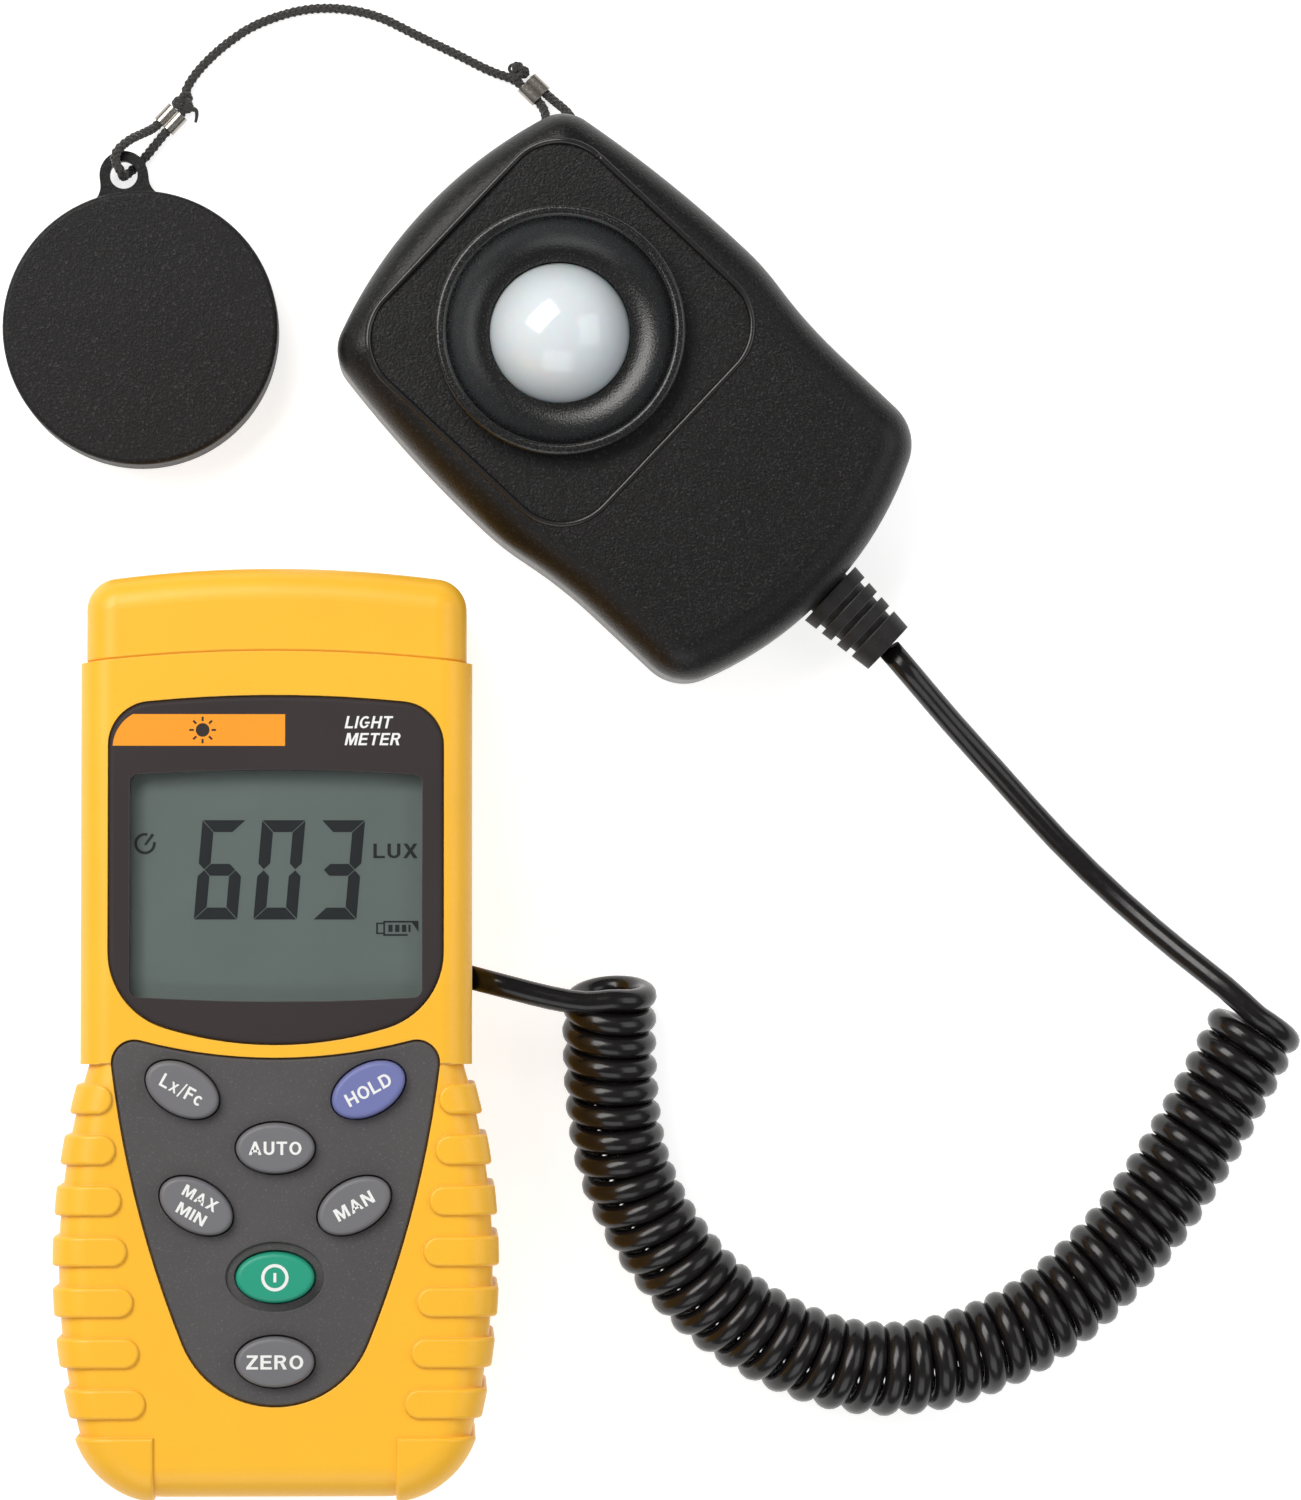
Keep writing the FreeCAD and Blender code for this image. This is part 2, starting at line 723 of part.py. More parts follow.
def make_front_housing():
    blocks = shell_block("front_block", "parting_height", "face_height", "front_round", "face_height")
    ribs = rib_block("front_ribs", "parting_height", "face_height + rib_rise", "front_round + 0.4",
                     "face_height + rib_rise")
    solid = fuse("front_solid", blocks + [ribs])
    posts = [(place, "post_radius", "screw_radius + screw_gap") for place in CASE_SCREWS]
    gap, ledge = size_of("seat_gap"), size_of("ledge_size")
    hollows = [
        shell_cavity("front_cavity", "parting_height", "ceiling_height", posts),
        prism("bezel_seat", bezel_outline(-gap), "bezel_low", "face_height + 1"),
        prism("bezel_opening", bezel_outline(size_of("bezel_ledge")), "ceiling_height - 1",
              "face_height + 1"),
        prism("keypad_seat", keypad_outline(-gap), "panel_low", "face_height + 1"),
        prism("keypad_opening", keypad_outline(ledge), "ceiling_height - 1", "face_height + 1"),
        side_recess("front_recess", "parting_height - 1", "face_height - front_round"),
    ]
    for name, left, right in (("left_groove", "-groove_outer", "-groove_inner"),
                              ("right_groove", "groove_inner", "groove_outer")):
        hollows.append(block(name, left, right, "waist_line - groove_half_width",
                             "waist_line + groove_half_width", "face_height - groove_deep",
                             "face_height + 1"))
    shell = cut("front_shell", solid, fuse("front_hollows", hollows))
    posts = [rod(f"board_post_{index}", x, y, "board_top", "ceiling_height + 0.5",
                 "board_post_radius")
             for index, (x, y) in enumerate(BOARD_SCREWS)]
    pilots = [rod(f"board_pilot_{index}", x, y, "board_top - 1", "ceiling_height",
                  "board_screw_radius + screw_gap")
              for index, (x, y) in enumerate(BOARD_SCREWS)]
    return keep(cut("front_cut", fuse("front_with_posts", [shell] + posts), fuse("front_pilots", pilots)),
                "front_housing")


def make_rear_housing():
    blocks = shell_block("rear_block", "0", "parting_height", "back_round", "0")
    ribs = rib_block("rear_ribs", "3", "parting_height", "2", "3")
    posts = [(place, "rear_post_radius", "screw_radius + 0.15") for place in CASE_SCREWS]
    shell = cut("rear_shell", fuse("rear_solid", blocks + [ribs]),
                shell_cavity("rear_cavity", "floor_size", "parting_height + 1", posts))
    well_wall = block("well_walls", "-well_half_width - well_wall", "well_half_width + well_wall",
                      "well_bottom - well_wall", "well_end + well_wall", "0.5", "well_top + well_wall")
    hollows = [
        block("battery_well", "-well_half_width", "well_half_width", "well_bottom", "well_end", "-1",
              "well_top"),
        block("door_channel", "-door_half_width - door_gap", "door_half_width + door_gap", "grip_bottom - 2",
              "door_end + door_gap", "-1", "door_size + door_gap"),
        block("door_grooves", "-door_half_width - tongue_proud - door_gap",
              "door_half_width + tongue_proud + door_gap", "grip_bottom - 2", "door_end + door_gap",
              "tongue_low - door_gap", "tongue_low + tongue_size + door_gap"),
        block("battery_wire_slot", "-wire_slot_half_width", "wire_slot_half_width", "well_end - 1",
              "well_end + well_wall + 0.5", "wire_slot_low", "well_top + 3"),
        side_recess("rear_recess", "back_round + 0.5", "parting_height + 1"),
    ]
    for index, (x, y) in enumerate(CASE_SCREWS):
        hollows.append(rod(f"screw_sink_{index}", x, y, "-1", "screw_sink + screw_head_size",
                           "screw_head_radius + 0.15"))
    outlet = doc.addObject("Part::Cylinder", "outlet_hole")
    outlet.Placement = FreeCAD.Placement(Vector(), FreeCAD.Rotation(Vector(0, 1, 0), 90))
    bind(outlet, Radius="grommet_radius", Height="6", Placement__Base__x="outlet_side - 4",
         Placement__Base__y="outlet_line", Placement__Base__z="outlet_height")
    hollows.append(outlet)
    keep(cut("rear_cut", fuse("rear_with_well", [shell, well_wall]), fuse("rear_hollows", hollows)),
         "rear_housing")
    return blocks


def make_battery_cover(blocks):
    """Sliding door, trimmed to the rounded back of the rear housing."""
    plate = block("door_plate", "-door_half_width", "door_half_width", "grip_bottom - 1", "door_end", "0",
                  "door_size")
    tongues = block("door_tongues", "-door_half_width - tongue_proud", "door_half_width + tongue_proud",
                    "grip_bottom - 1", "door_end - 0.5", "tongue_low", "tongue_low + tongue_size")
    grip_lines = (-16.0, -18.5, -21.0, -23.5)
    grips = [block(f"door_grip_{index}", "-door_grip_half_width", "door_grip_half_width", f"{y}",
                   f"{y} + door_grip_size", "-1", "door_grip_deep")
             for index, y in enumerate(grip_lines)]
    whole = common("door_trim", fuse("door_slab", [plate, tongues]), fuse("door_limit", blocks))
    return keep(cut("door_cut", whole, fuse("door_grips", grips)), "battery_cover")


def make_top_cap():
    body = prism("cap_shell", cap_outline(), "0", "face_height")
    soften(body, "cap_front_round", "front_round",
           lambda edge: at_height(edge, "face_height") and edge.BoundBox.YMax > 54)
    soften(body, "cap_back_round", "back_round",
           lambda edge: at_height(edge, "0") and edge.BoundBox.YMax > 54)
    soften(body, "cap_joint_chamfer", "0.3",
           lambda edge: at_height(edge, "face_height") and edge.BoundBox.YMax < 53.5, "PartDesign::Chamfer")
    hollow = prism("cap_hollow", cap_outline(size_of("wall_size"), 50.0), "floor_size", "ceiling_height")
    return keep(cut("cap_cut", body, hollow), "top_cap")


# ---------------------------------------------------------------- display

def make_display():
    plate = prism("bezel_plate", bezel_outline(), "bezel_low", "bezel_top")
    soften(plate, "bezel_edge", "0.7", lambda edge: at_height(edge, "bezel_top"))
    skirt = prism("bezel_skirt", bezel_outline(size_of("bezel_ledge + seat_gap")), "skirt_low",
                  "bezel_low + 0.2")
    opening = prism("window_opening", window_outline(), "skirt_low - 1", "bezel_top + 1")
    seat = prism("pane_seat", window_outline(-size_of("pane_proud")), "skirt_low - 1", "pane_top")
    keep(cut("bezel_cut", fuse("bezel_solid", [plate, skirt]), fuse("bezel_holes", [opening, seat])),
         "display_bezel")
    pane_edge = window_outline(0.03 - size_of("pane_proud"))
    keep(prism("pane", pane_edge, "pane_low", "pane_top - 0.02"), "display_window")
    keep(block("lcd", "-glass_half_width", "glass_half_width", "glass_bottom", "glass_end",
               "glass_top - glass_size", "glass_top"), "lcd_panel")
    frame = block("lcd_frame_block", "-frame_half_width", "frame_half_width", "frame_bottom",
                  "frame_end", "board_top", "glass_top - frame_gap")
    opening = block("lcd_frame_opening", "-glass_half_width - frame_gap", "glass_half_width + frame_gap",
                    "glass_bottom - frame_gap", "glass_end + frame_gap", "board_top - 1", "glass_top + 1")
    keep(cut("lcd_frame_cut", frame, opening), "lcd_frame")
    strip_lines = (3.2, 35.6)
    strips = [block(f"zebra_{index}", "-zebra_half_width", "zebra_half_width", f"{y}", f"{y} + zebra_size",
                    "board_top", "glass_top - glass_size") for index, y in enumerate(strip_lines)]
    keep(fuse("zebra_pair", strips), "zebra_strips")


# ---------------------------------------------------------------- keypad

def make_keypad_panel():
    plate = prism("panel_plate", keypad_outline(), "panel_low", "panel_top")
    soften(plate, "panel_edge", "0.4", lambda edge: at_height(edge, "panel_top"))
    major, minor = size_of("key_major + key_gap"), size_of("key_minor + key_gap")
    holes = prism("panel_holes", [key_curve(name, major, minor) for name in KEYS], "panel_low - 1",
                  "panel_top + 1")
    dish_curve = key_curve("key_power", size_of("dish_major"), size_of("dish_minor"))
    dish = prism("power_dish", [dish_curve], "panel_top - dish_deep", "panel_top + 1")
    return keep(cut("panel_cut", plate, fuse("panel_openings", [holes, dish])), "keypad_panel")


def make_key(name):
    """Rounded oval button with a retaining flange and a stem below the panel."""
    body = prism(name + "_top", [key_curve(name, size_of("key_major"), size_of("key_minor"))],
                 "flange_top - 0.1", "key_top")
    soften(body, name + "_round", "key_round", lambda edge: at_height(edge, "key_top"))
    flange_curve = key_curve(name, size_of("key_major + flange_proud"), size_of("key_minor + flange_proud"))
    flange = prism(name + "_flange", [flange_curve], "flange_low", "flange_top")
    stem = prism(name + "_stem", [key_curve(name, size_of("stem_major"), size_of("stem_minor"))],
                 "stem_low", "flange_low + 0.1")
    keep(fuse(name + "_whole", [body, flange, stem]), name)
    x, y = KEYS[name][:2]
    keep(rod(name + "_pill", x, y, "pill_low", "stem_low", "pill_radius"), name.replace("key", "pill", 1))


def make_keypad_mat():
    inset, gap = 2.8, 0.4
    sheet_body = prism("mat_sheet", keypad_outline(inset), "mat_low", "mat_top")
    major, minor = size_of("stem_major") + gap, size_of("stem_minor") + gap
    holes = prism("mat_holes", [key_curve(name, major, minor) for name in KEYS], "mat_low - 1",
                  "mat_top + 1")
    return keep(cut("mat_cut", sheet_body, holes), "keypad_mat")


# ---------------------------------------------------------------- boards, battery and fasteners

def make_main_board():
    plate = fuse("board_plate", [
        block("board_main", "-board_half_width", "board_half_width", "board_bottom", "board_end", "board_low",
              "board_top"),
        block("board_tongue", "-board_tongue_half_width", "board_tongue_half_width", "board_end - 0.5",
              "board_tongue_end", "board_low", "board_top")])
    holes = [rod(f"board_hole_{index}", x, y, "board_low - 1", "board_top + 1", "board_screw_radius + 0.2")
             for index, (x, y) in enumerate(BOARD_SCREWS)]
    keep(cut("board_cut", plate, fuse("board_holes", holes)), "main_board")
    bodies = [block(f"chip_{index}", str(left), str(right), str(bottom), str(top),
                    f"board_low - {tall}", "board_low")
              for index, (left, right, bottom, top, tall) in enumerate(CHIPS)]
    keep(fuse("chip_set", bodies), "board_chips")


def make_battery():
    top = "battery_bottom + battery_long - battery_stud_size"
    case = block("battery_case", "-battery_wide / 2", "battery_wide / 2", "battery_bottom", top,
                 "battery_low", "battery_low + battery_thick")
    studs = []
    for index, (x, radius) in enumerate(TERMINALS):
        stud = doc.addObject("Part::Cylinder", f"battery_stud_{index}")
        stud.Placement = FreeCAD.Placement(Vector(x, 0, 0), FreeCAD.Rotation(Vector(1, 0, 0), -90))
        bind(stud, Radius=radius, Height="battery_stud_size", Placement__Base__y=top,
             Placement__Base__z="battery_low + battery_thick / 2")
        studs.append(stud)
    keep(fuse("battery_whole", [case] + studs), "battery")
    end = "battery_bottom + battery_long"
    keep(block("snap", "-snap_half_width", "snap_half_width", end, end + " + snap_size",
               "battery_low + snap_inset", "battery_low + battery_thick - snap_inset"), "battery_snap")


def screw(name, x, y, head_low, head_size, head_radius, radius, length):
    """Pan-head screw driven upwards from the back, with a cross recess in its head."""
    head = rod(name + "_head", x, y, head_low, f"{head_low} + {head_size}", head_radius)
    shank = rod(name + "_shank", x, y, f"{head_low} + {head_size}",
                f"{head_low} + {head_size} + {length}", radius)
    arms = (("slot_half_width", "slot_half_long"), ("slot_half_long", "slot_half_width"))
    slots = [block(f"{name}_slot_{axis}", f"{x} - {a}", f"{x} + {a}", f"{y} - {b}", f"{y} + {b}",
                   f"{head_low} - 1", f"{head_low} + {head_size} * slot_part")
             for axis, (a, b) in enumerate(arms)]
    return cut(name, fuse(name + "_blank", [head, shank]), fuse(name + "_cross", slots))


def make_screws():
    case = [screw(f"case_screw_{index}", x, y, "screw_sink", "screw_head_size", "screw_head_radius",
                  "screw_radius", "screw_long") for index, (x, y) in enumerate(CASE_SCREWS)]
    keep(fuse("case_screw_set", case), "case_screws")
    board = [screw(f"board_screw_{index}", x, y, "board_low - board_screw_head_size",
                   "board_screw_head_size", "board_screw_head_radius", "board_screw_radius",
                   "board_screw_long")
             for index, (x, y) in enumerate(BOARD_SCREWS)]
    keep(fuse("board_screw_set", board), "board_screws")


def make_grommet():
    """Rubber bush that lines the lead's outlet and sits flush with the wall."""
    wall_in = size_of("upper_half_width - wall_size")
    face, bore = size_of("outlet_side"), size_of("lead_radius + 0.05")
    neck, flange = size_of("grommet_radius - 0.05"), size_of("grommet_flange_radius")
    step = size_of("grommet_flange_size")
    end = face - wall_in + step
    curves = half_profile([(bore, 0), (flange, 0), (flange, step), (neck, step), (neck, end), (bore, end)])
    body = revolved("grommet", curves)
    place = Vector(wall_in - step, size_of("outlet_line"), size_of("outlet_height"))
    body.Placement = FreeCAD.Placement(place, FreeCAD.Rotation(Vector(0, 1, 0), 90))
    return keep(body, "cable_grommet")


# ---------------------------------------------------------------- cords and wires

def route_tube(name, points, radius):
    """Tube along straight runs joined by the largest tangent arcs that the runs allow."""
    spots = [Vector(*point) for point in points]
    edges, here, radii = [], spots[0], []
    for before, corner, after in zip(spots, spots[1:], spots[2:]):
        come, go = corner - before, after - corner
        shorter = min(come.Length, go.Length)
        come, go = come.normalize(), go.normalize()
        half_turn = come.getAngle(go) / 2
        reach = 0.45 * shorter
        bend = reach / math.tan(half_turn)
        inward = (go - come).normalize()
        centre = corner + inward * (bend / math.cos(half_turn))
        start, stop = corner - come * reach, corner + go * reach
        edges.append(Part.LineSegment(here, start).toShape())
        edges.append(Part.Arc(start, centre - inward * bend, stop).toShape())
        here = stop
        radii.append(round(bend, 1))
    edges.append(Part.LineSegment(here, spots[-1]).toShape())
    path = Part.Wire(edges)
    ring = Part.Circle(spots[0], spots[1] - spots[0], radius).toShape()
    solid = path.makePipeShell([Part.Wire([ring])], True, True)
    expected = math.pi * radius ** 2 * path.Length
    if abs(solid.Volume / expected - 1) > 0.01:
        raise RuntimeError(name + " is not a whole tube")
    print(name, "length", round(path.Length, 1), "radii", radii)
    return solid


METER_LEAD = ((26.9, 7.9, 14.0), (32.96, 6.3, 13.9), (38.66, 5.01, 12.9), (43.8, 4.19, 11.9))
COIL_AXIS = ((47.19, 5.4, 6.75), (46.65, -12.27, 6.75), (52.68, -28.64, 6.75), (65.25, -42.27, 6.75),
             (85.09, -49.94, 6.75), (105.04, -44.65, 6.75), (119.55, -33.05, 6.75),
             (131.79, -16.01, 6.75), (140.74, 1.63, 6.75))
SENSOR_LEAD = ((87.38, 54.94, 8.5), (91.21, 50.62, 7.6), (96.27, 45.0, 4.2), (103.44, 37.38, 1.9),
               (112.23, 27.48, 1.8), (121.35, 18.56, 3.4), (129.41, 11.3, 8.0), (135.7, 6.2, 11.3),
               (139.72, 2.29, 11.9))
# through the first ferrule, over and back under the cap's eye, round to the head and about its post
LANYARD = ((-15.84, 133.63, 1.1), (-18.22, 131.07, 1.1), (-19.6, 130.05, 2.4), (-22.3, 128.6, 4.4),
           (-24.6, 126.2, 5.1), (-23.1, 123.5, 5.2), (-23.1, 123.5, 0.8), (-20.2, 126.15, 0.78),
           (-17.4, 129.75, 1.05), (-14.47, 132.9, 1.1), (-14.38, 136.1, 0.9), (-12.35, 139.3, 0.75),
           (-8.6, 142.95, 0.75), (-3.61, 146.3, 0.75), (4.4, 148.63, 0.75), (12.8, 147.76, 0.75),
           (19.51, 144.29, 0.75), (25.13, 141.69, 0.75), (30.08, 139.12, 0.8), (33.0, 138.23, 0.95),
           (34.38, 137.34, 1.1), (37.19, 134.63, 1.1), (37.95, 133.2, 1.9), (38.1, 130.64, 3.2),
           (40.03, 127.99, 3.4), (42.43, 129.84, 3.4), (41.7, 132.44, 3.2), (40.0, 134.2, 1.9),
           (38.23, 135.71, 1.1), (35.71, 138.14, 1.1))


def make_cords():
    routes = (("cord_meter_lead", METER_LEAD, "lead_radius"), ("cord_coil", COIL_AXIS, "coil_radius"),
              ("cord_sensor_lead", SENSOR_LEAD, "lead_radius"), ("lanyard_cord", LANYARD, "lanyard_radius"))
    for name, route, radius in routes:
        keep(bare(name + "_tube", route_tube(name, route, size_of(radius))), name)


def make_wires():
    """Lead's inner end, its three cores to the board plug, and the battery's two wires."""
    y, z, core = size_of("outlet_line"), size_of("outlet_height"), size_of("core_radius")
    jacket_end, wall_side = Vector(22.0, y - 0.3, z), Vector(24.5, y, z)
    outlet = Vector(size_of("outlet_side"), y + 0.01, z)
    plug_x, plug_y, plug_height, plug_top = 17.0, 6.0, 19.0, 22.85
    tubes = [route_tube("lead_stub", (jacket_end, wall_side, outlet), size_of("lead_radius"))]
    for index, apart in enumerate((-1.0, 0.0, 1.0)):
        side = Vector(0, apart, 0)
        route = (jacket_end + side, jacket_end + side + Vector(-3.0, -0.3, 1.5),
                 Vector(plug_x, plug_y + apart, plug_height), Vector(plug_x, plug_y + apart, plug_top))
        tubes.append(route_tube(f"core_{index}", route, core))
    keep(bare("inner_wires", Part.makeCompound(tubes)), "lead_wires")
    snap_end = size_of("battery_bottom + battery_long + snap_size")
    board = size_of("board_low")
    pair = []
    for index, side in enumerate((-1.0, 1.0)):
        route = ((side, snap_end, 15.5), (side, -4.1, 17.0), (side, -1.5, 20.5),
                 (1.2 * side, 0.5, 24.0), (1.2 * side, 0.5, board))
        pair.append(route_tube(f"battery_wire_{index}", route, size_of("battery_wire_radius")))
    keep(bare("battery_wire_pair", Part.makeCompound(pair)), "battery_wires")


# ---------------------------------------------------------------- sensor head

HEAD_SCREWS = ((-21.3, 9.0), (21.3, 9.0), (-20.3, -37.0), (20.3, -37.0))
FOOT_BOSSES = ((-12, -27), (12, -27))


def on_head(item):
    """Move a piece from the head's own frame to where the head lies."""
    turn = FreeCAD.Rotation(UP, size_of("head_angle"))
    place = FreeCAD.Placement(Vector(size_of("head_x"), size_of("head_y"), 0), turn)
    item.Placement = place.multiply(item.Placement)
    return item


def rounded_square(half, bottom, top, corner):
    right = [line(0, top, half - corner, top),
             bow(half - corner, top - corner, corner, 0, 90),
             line(half, top - corner, half, bottom + corner),
             bow(half - corner, bottom + corner, corner, -90, 0),
             line(half - corner, bottom, 0, bottom)]
    return both_sides(right)


def relief_hole(name):
    """Hole through the head's lower wall for the neck of the strain relief."""
    inside, through = -49.0, "6"
    hole = doc.addObject("Part::Cylinder", name)
    hole.Placement = FreeCAD.Placement(Vector(0, inside, 0), FreeCAD.Rotation(Vector(1, 0, 0), 90))
    bind(hole, Radius="relief_neck + 0.05", Height=through, Placement__Base__z="head_parting")
    return hole


def make_sensor_front():
    body = prism("head_front", head_outline(), "head_parting", "head_top")
    soften(body, "head_front_edge", "head_front_round", lambda edge: at_height(edge, "head_top"))
    recess_bottom, recess_end = -21.3, 21.1
    frame = rounded_square(size_of("recess_half_width"), recess_bottom, recess_end, size_of("recess_corner"))
    recess = prism("head_recess", frame, "head_top - recess_size", "head_top + 1")
    hollow = new_body("head_front_hollow")
    hollow.AllowCompound = True
    plan = new_sketch(hollow, "head_front_hollow_plan", "head_parting - 1")
    add_curves(plan, head_outline(size_of("head_wall")))
    for x, y in HEAD_SCREWS:
        add_circle(plan, x, y, "head_boss_radius")
        add_circle(plan, x, y, "head_pilot_radius")
    pad(hollow, plan, "head_top - head_roof - (head_parting - 1)", "head_front_hollow_pad")
    hole = rod("collar_hole", 0, 0, "10", "30", "collar_neck + 0.1")
    hollows = [recess, hollow, hole, relief_hole("front_relief")]
    whole = cut("head_front_cut", body, fuse("head_front_hollows", hollows))
    return keep(on_head(whole), "sensor_front_cover")


def make_sensor_rear():
    outside = prism("head_rear", head_outline(), "0", "head_parting")
    soften(outside, "head_rear_edge", "head_back_round", lambda edge: at_height(edge, "0"))
    hollow = new_body("head_rear_hollow")
    hollow.AllowCompound = True
    plan = new_sketch(hollow, "head_rear_hollow_plan", "head_wall")
    add_curves(plan, head_outline(size_of("head_wall")))
    for x, y in HEAD_SCREWS:
        add_circle(plan, x, y, "head_sleeve_radius")
        add_circle(plan, x, y, "head_hole_radius")
    for x, y in FOOT_BOSSES:
        add_circle(plan, x, y, "foot_boss_radius")
    pad(hollow, plan, "head_parting - head_wall", "head_rear_hollow_pad")
    shell = cut("head_rear_shell", outside, hollow)
    boss_rod = rod("lanyard_boss_rod", "post_x", "post_y", "0.5", "lanyard_boss_top", "lanyard_boss_radius")
    boss = common("lanyard_boss", boss_rod, outside)
    pocket_low = "lanyard_post_height - lanyard_pocket_half_height"
    pocket_high = "lanyard_post_height + lanyard_pocket_half_height"
    notch = fuse("lanyard_notch", [
        rod("notch_round", "post_x", "post_y", pocket_low, pocket_high, "lanyard_pocket_radius"),
        block("notch_mouth", "post_x - lanyard_mouth_side", "post_x + 6", "post_y", "post_y + 8",
              pocket_low, pocket_high)])
    pocket_shape = cut("notch_around_post", notch,
                       rod("lanyard_post_rod", "post_x", "post_y", "0", "7", "lanyard_post"))
    sinks = [rod(f"head_sink_{index}", x, y, "-1", "head_sink_size", "head_sink_radius")
             for index, (x, y) in enumerate(HEAD_SCREWS)]
    whole = cut("head_rear_cut", fuse("head_rear_solid", [shell, boss]),
                fuse("head_rear_hollows", [pocket_shape, relief_hole("rear_relief")] + sinks))
    return keep(on_head(whole), "sensor_rear_cover")


def make_collar():
    outer, inner, neck = size_of("collar_radius"), size_of("dish_rim"), size_of("collar_neck")
    low, top = size_of("collar_low"), size_of("collar_top")
    seat = size_of("head_top - recess_size")
    dish, base = size_of("dish_low"), size_of("dish_radius")
    middle = Vector(size_of("dish_middle_radius"), size_of("dish_middle_height"), 0)
    rim = size_of("collar_rim")
    curves = [line(base, low, neck, low), line(neck, low, neck, seat), line(neck, seat, outer, seat),
              line(outer, seat, outer, top - rim), bow(outer - rim, top - rim, rim, 0, 90),
              line(outer - rim, top, inner + rim, top), bow(inner + rim, top - rim, rim, 90, 180),
              Part.Arc(Vector(inner, top - rim, 0), middle, Vector(base, dish, 0)),
              line(base, dish, base, low)]
    return keep(on_head(revolved("collar", curves)), "dome_collar")


def make_dome():
    radius, base, skin = size_of("dome_radius"), size_of("dome_base_radius"), size_of("dome_skin")
    centre = size_of("dome_top") - radius
    low, shelf = size_of("collar_low - dome_flange_size"), size_of("collar_low")
    bore, flange = size_of("dome_bore"), size_of("dome_flange_radius")
    edge_angle = math.degrees(math.acos(base / radius))
    bore_angle = math.degrees(math.acos(bore / (radius - skin)))
    base_height = centre + radius * math.sin(math.radians(edge_angle))
    bore_height = centre + (radius - skin) * math.sin(math.radians(bore_angle))
    curves = [bow(0, centre, radius, edge_angle, 90), line(base, base_height, base, shelf),
              line(base, shelf, flange, shelf), line(flange, shelf, flange, low),
              line(flange, low, bore, low),
              line(bore, low, bore, bore_height), bow(0, centre, radius - skin, bore_angle, 90),
              line(0, centre + radius - skin, 0, centre + radius)]
    return keep(on_head(revolved("dome", curves)), "diffuser_dome")


def disc(name, radius, low, high):
    body = new_body(name)
    plan = new_sketch(body, name + "_plan", low)
    add_circle(plan, "0", "0", radius)
    pad(body, plan, f"{high} - ({low})", name + "_pad")
    return body


def make_sensor_inside():
    board_half_width, board_bottom, board_end, board_corner = 16.5, -34.0, 15.0, 1.5
    keep(on_head(disc("filter_disc", "filter_radius", "diode_top", "filter_top")), "colour_filter")
    keep(on_head(disc("diode_disc", "diode_radius", "sensor_board_top", "diode_top")), "photodiode")
    outline = rounded_square(board_half_width, board_bottom, board_end, board_corner)
    keep(on_head(prism("head_board_plate", outline, "head_parting", "sensor_board_top")), "sensor_board")
    screws = []
    for index, (x, y) in enumerate(HEAD_SCREWS):
        screws.append(screw(f"head_screw_{index}", x, y, "head_screw_low", "head_screw_head_size",
                            "head_screw_head_radius", "head_screw_radius", "head_screw_long"))
    keep(on_head(fuse("head_screw_set", screws)), "sensor_screws")


def make_relief():
    """Moulded strain relief: flange inside the head, neck in the wall, ribbed taper outside."""
    start, end = size_of("relief_start"), size_of("relief_end")
    back, front = size_of("relief_flange_back"), size_of("relief_flange_front")
    big, small, neck = size_of("relief_big"), size_of("relief_small"), size_of("relief_neck")
    flange, deep = size_of("relief_flange_radius"), size_of("relief_groove_deep")
    groove_lines, half = (56.1, 58.8, 61.5), size_of("relief_groove_size / 2")

    def taper(along):
        return big + (small - big) * (along - start) / (end - start)

    points = [(0, back), (flange, back), (flange, front), (neck, front), (neck, start), (big, start)]
    for middle in groove_lines:
        low, high = middle - half, middle + half
        points += [(taper(low), low), (taper(low) - deep, low), (taper(high) - deep, high),
                   (taper(high), high)]
    points += [(small, end), (0, end)]
    body = revolved("relief", half_profile(points))
    body.Placement = FreeCAD.Placement(Vector(0, 0, size_of("head_parting")),
                                       FreeCAD.Rotation(Vector(1, 0, 0), 90))
    return keep(on_head(body), "strain_relief")


def make_sensor_wires():
    """Three cores from the strain relief to the head's board."""
    core = size_of("core_radius")
    cores = [route_tube(f"head_core_{index}", ((x, -48.9, 8.5), (x, -44.0, 9.4), (x * 1.5, -38.0, 11.5),
                                               (x * 2, -31.5, 11.6), (x * 2, -30.0, 10.1)), core)
             for index, x in enumerate((-1.2, 0.0, 1.2))]
    return keep(on_head(bare("head_cores", Part.makeCompound(cores))), "sensor_wires")


# ---------------------------------------------------------------- lens cap and ferrules

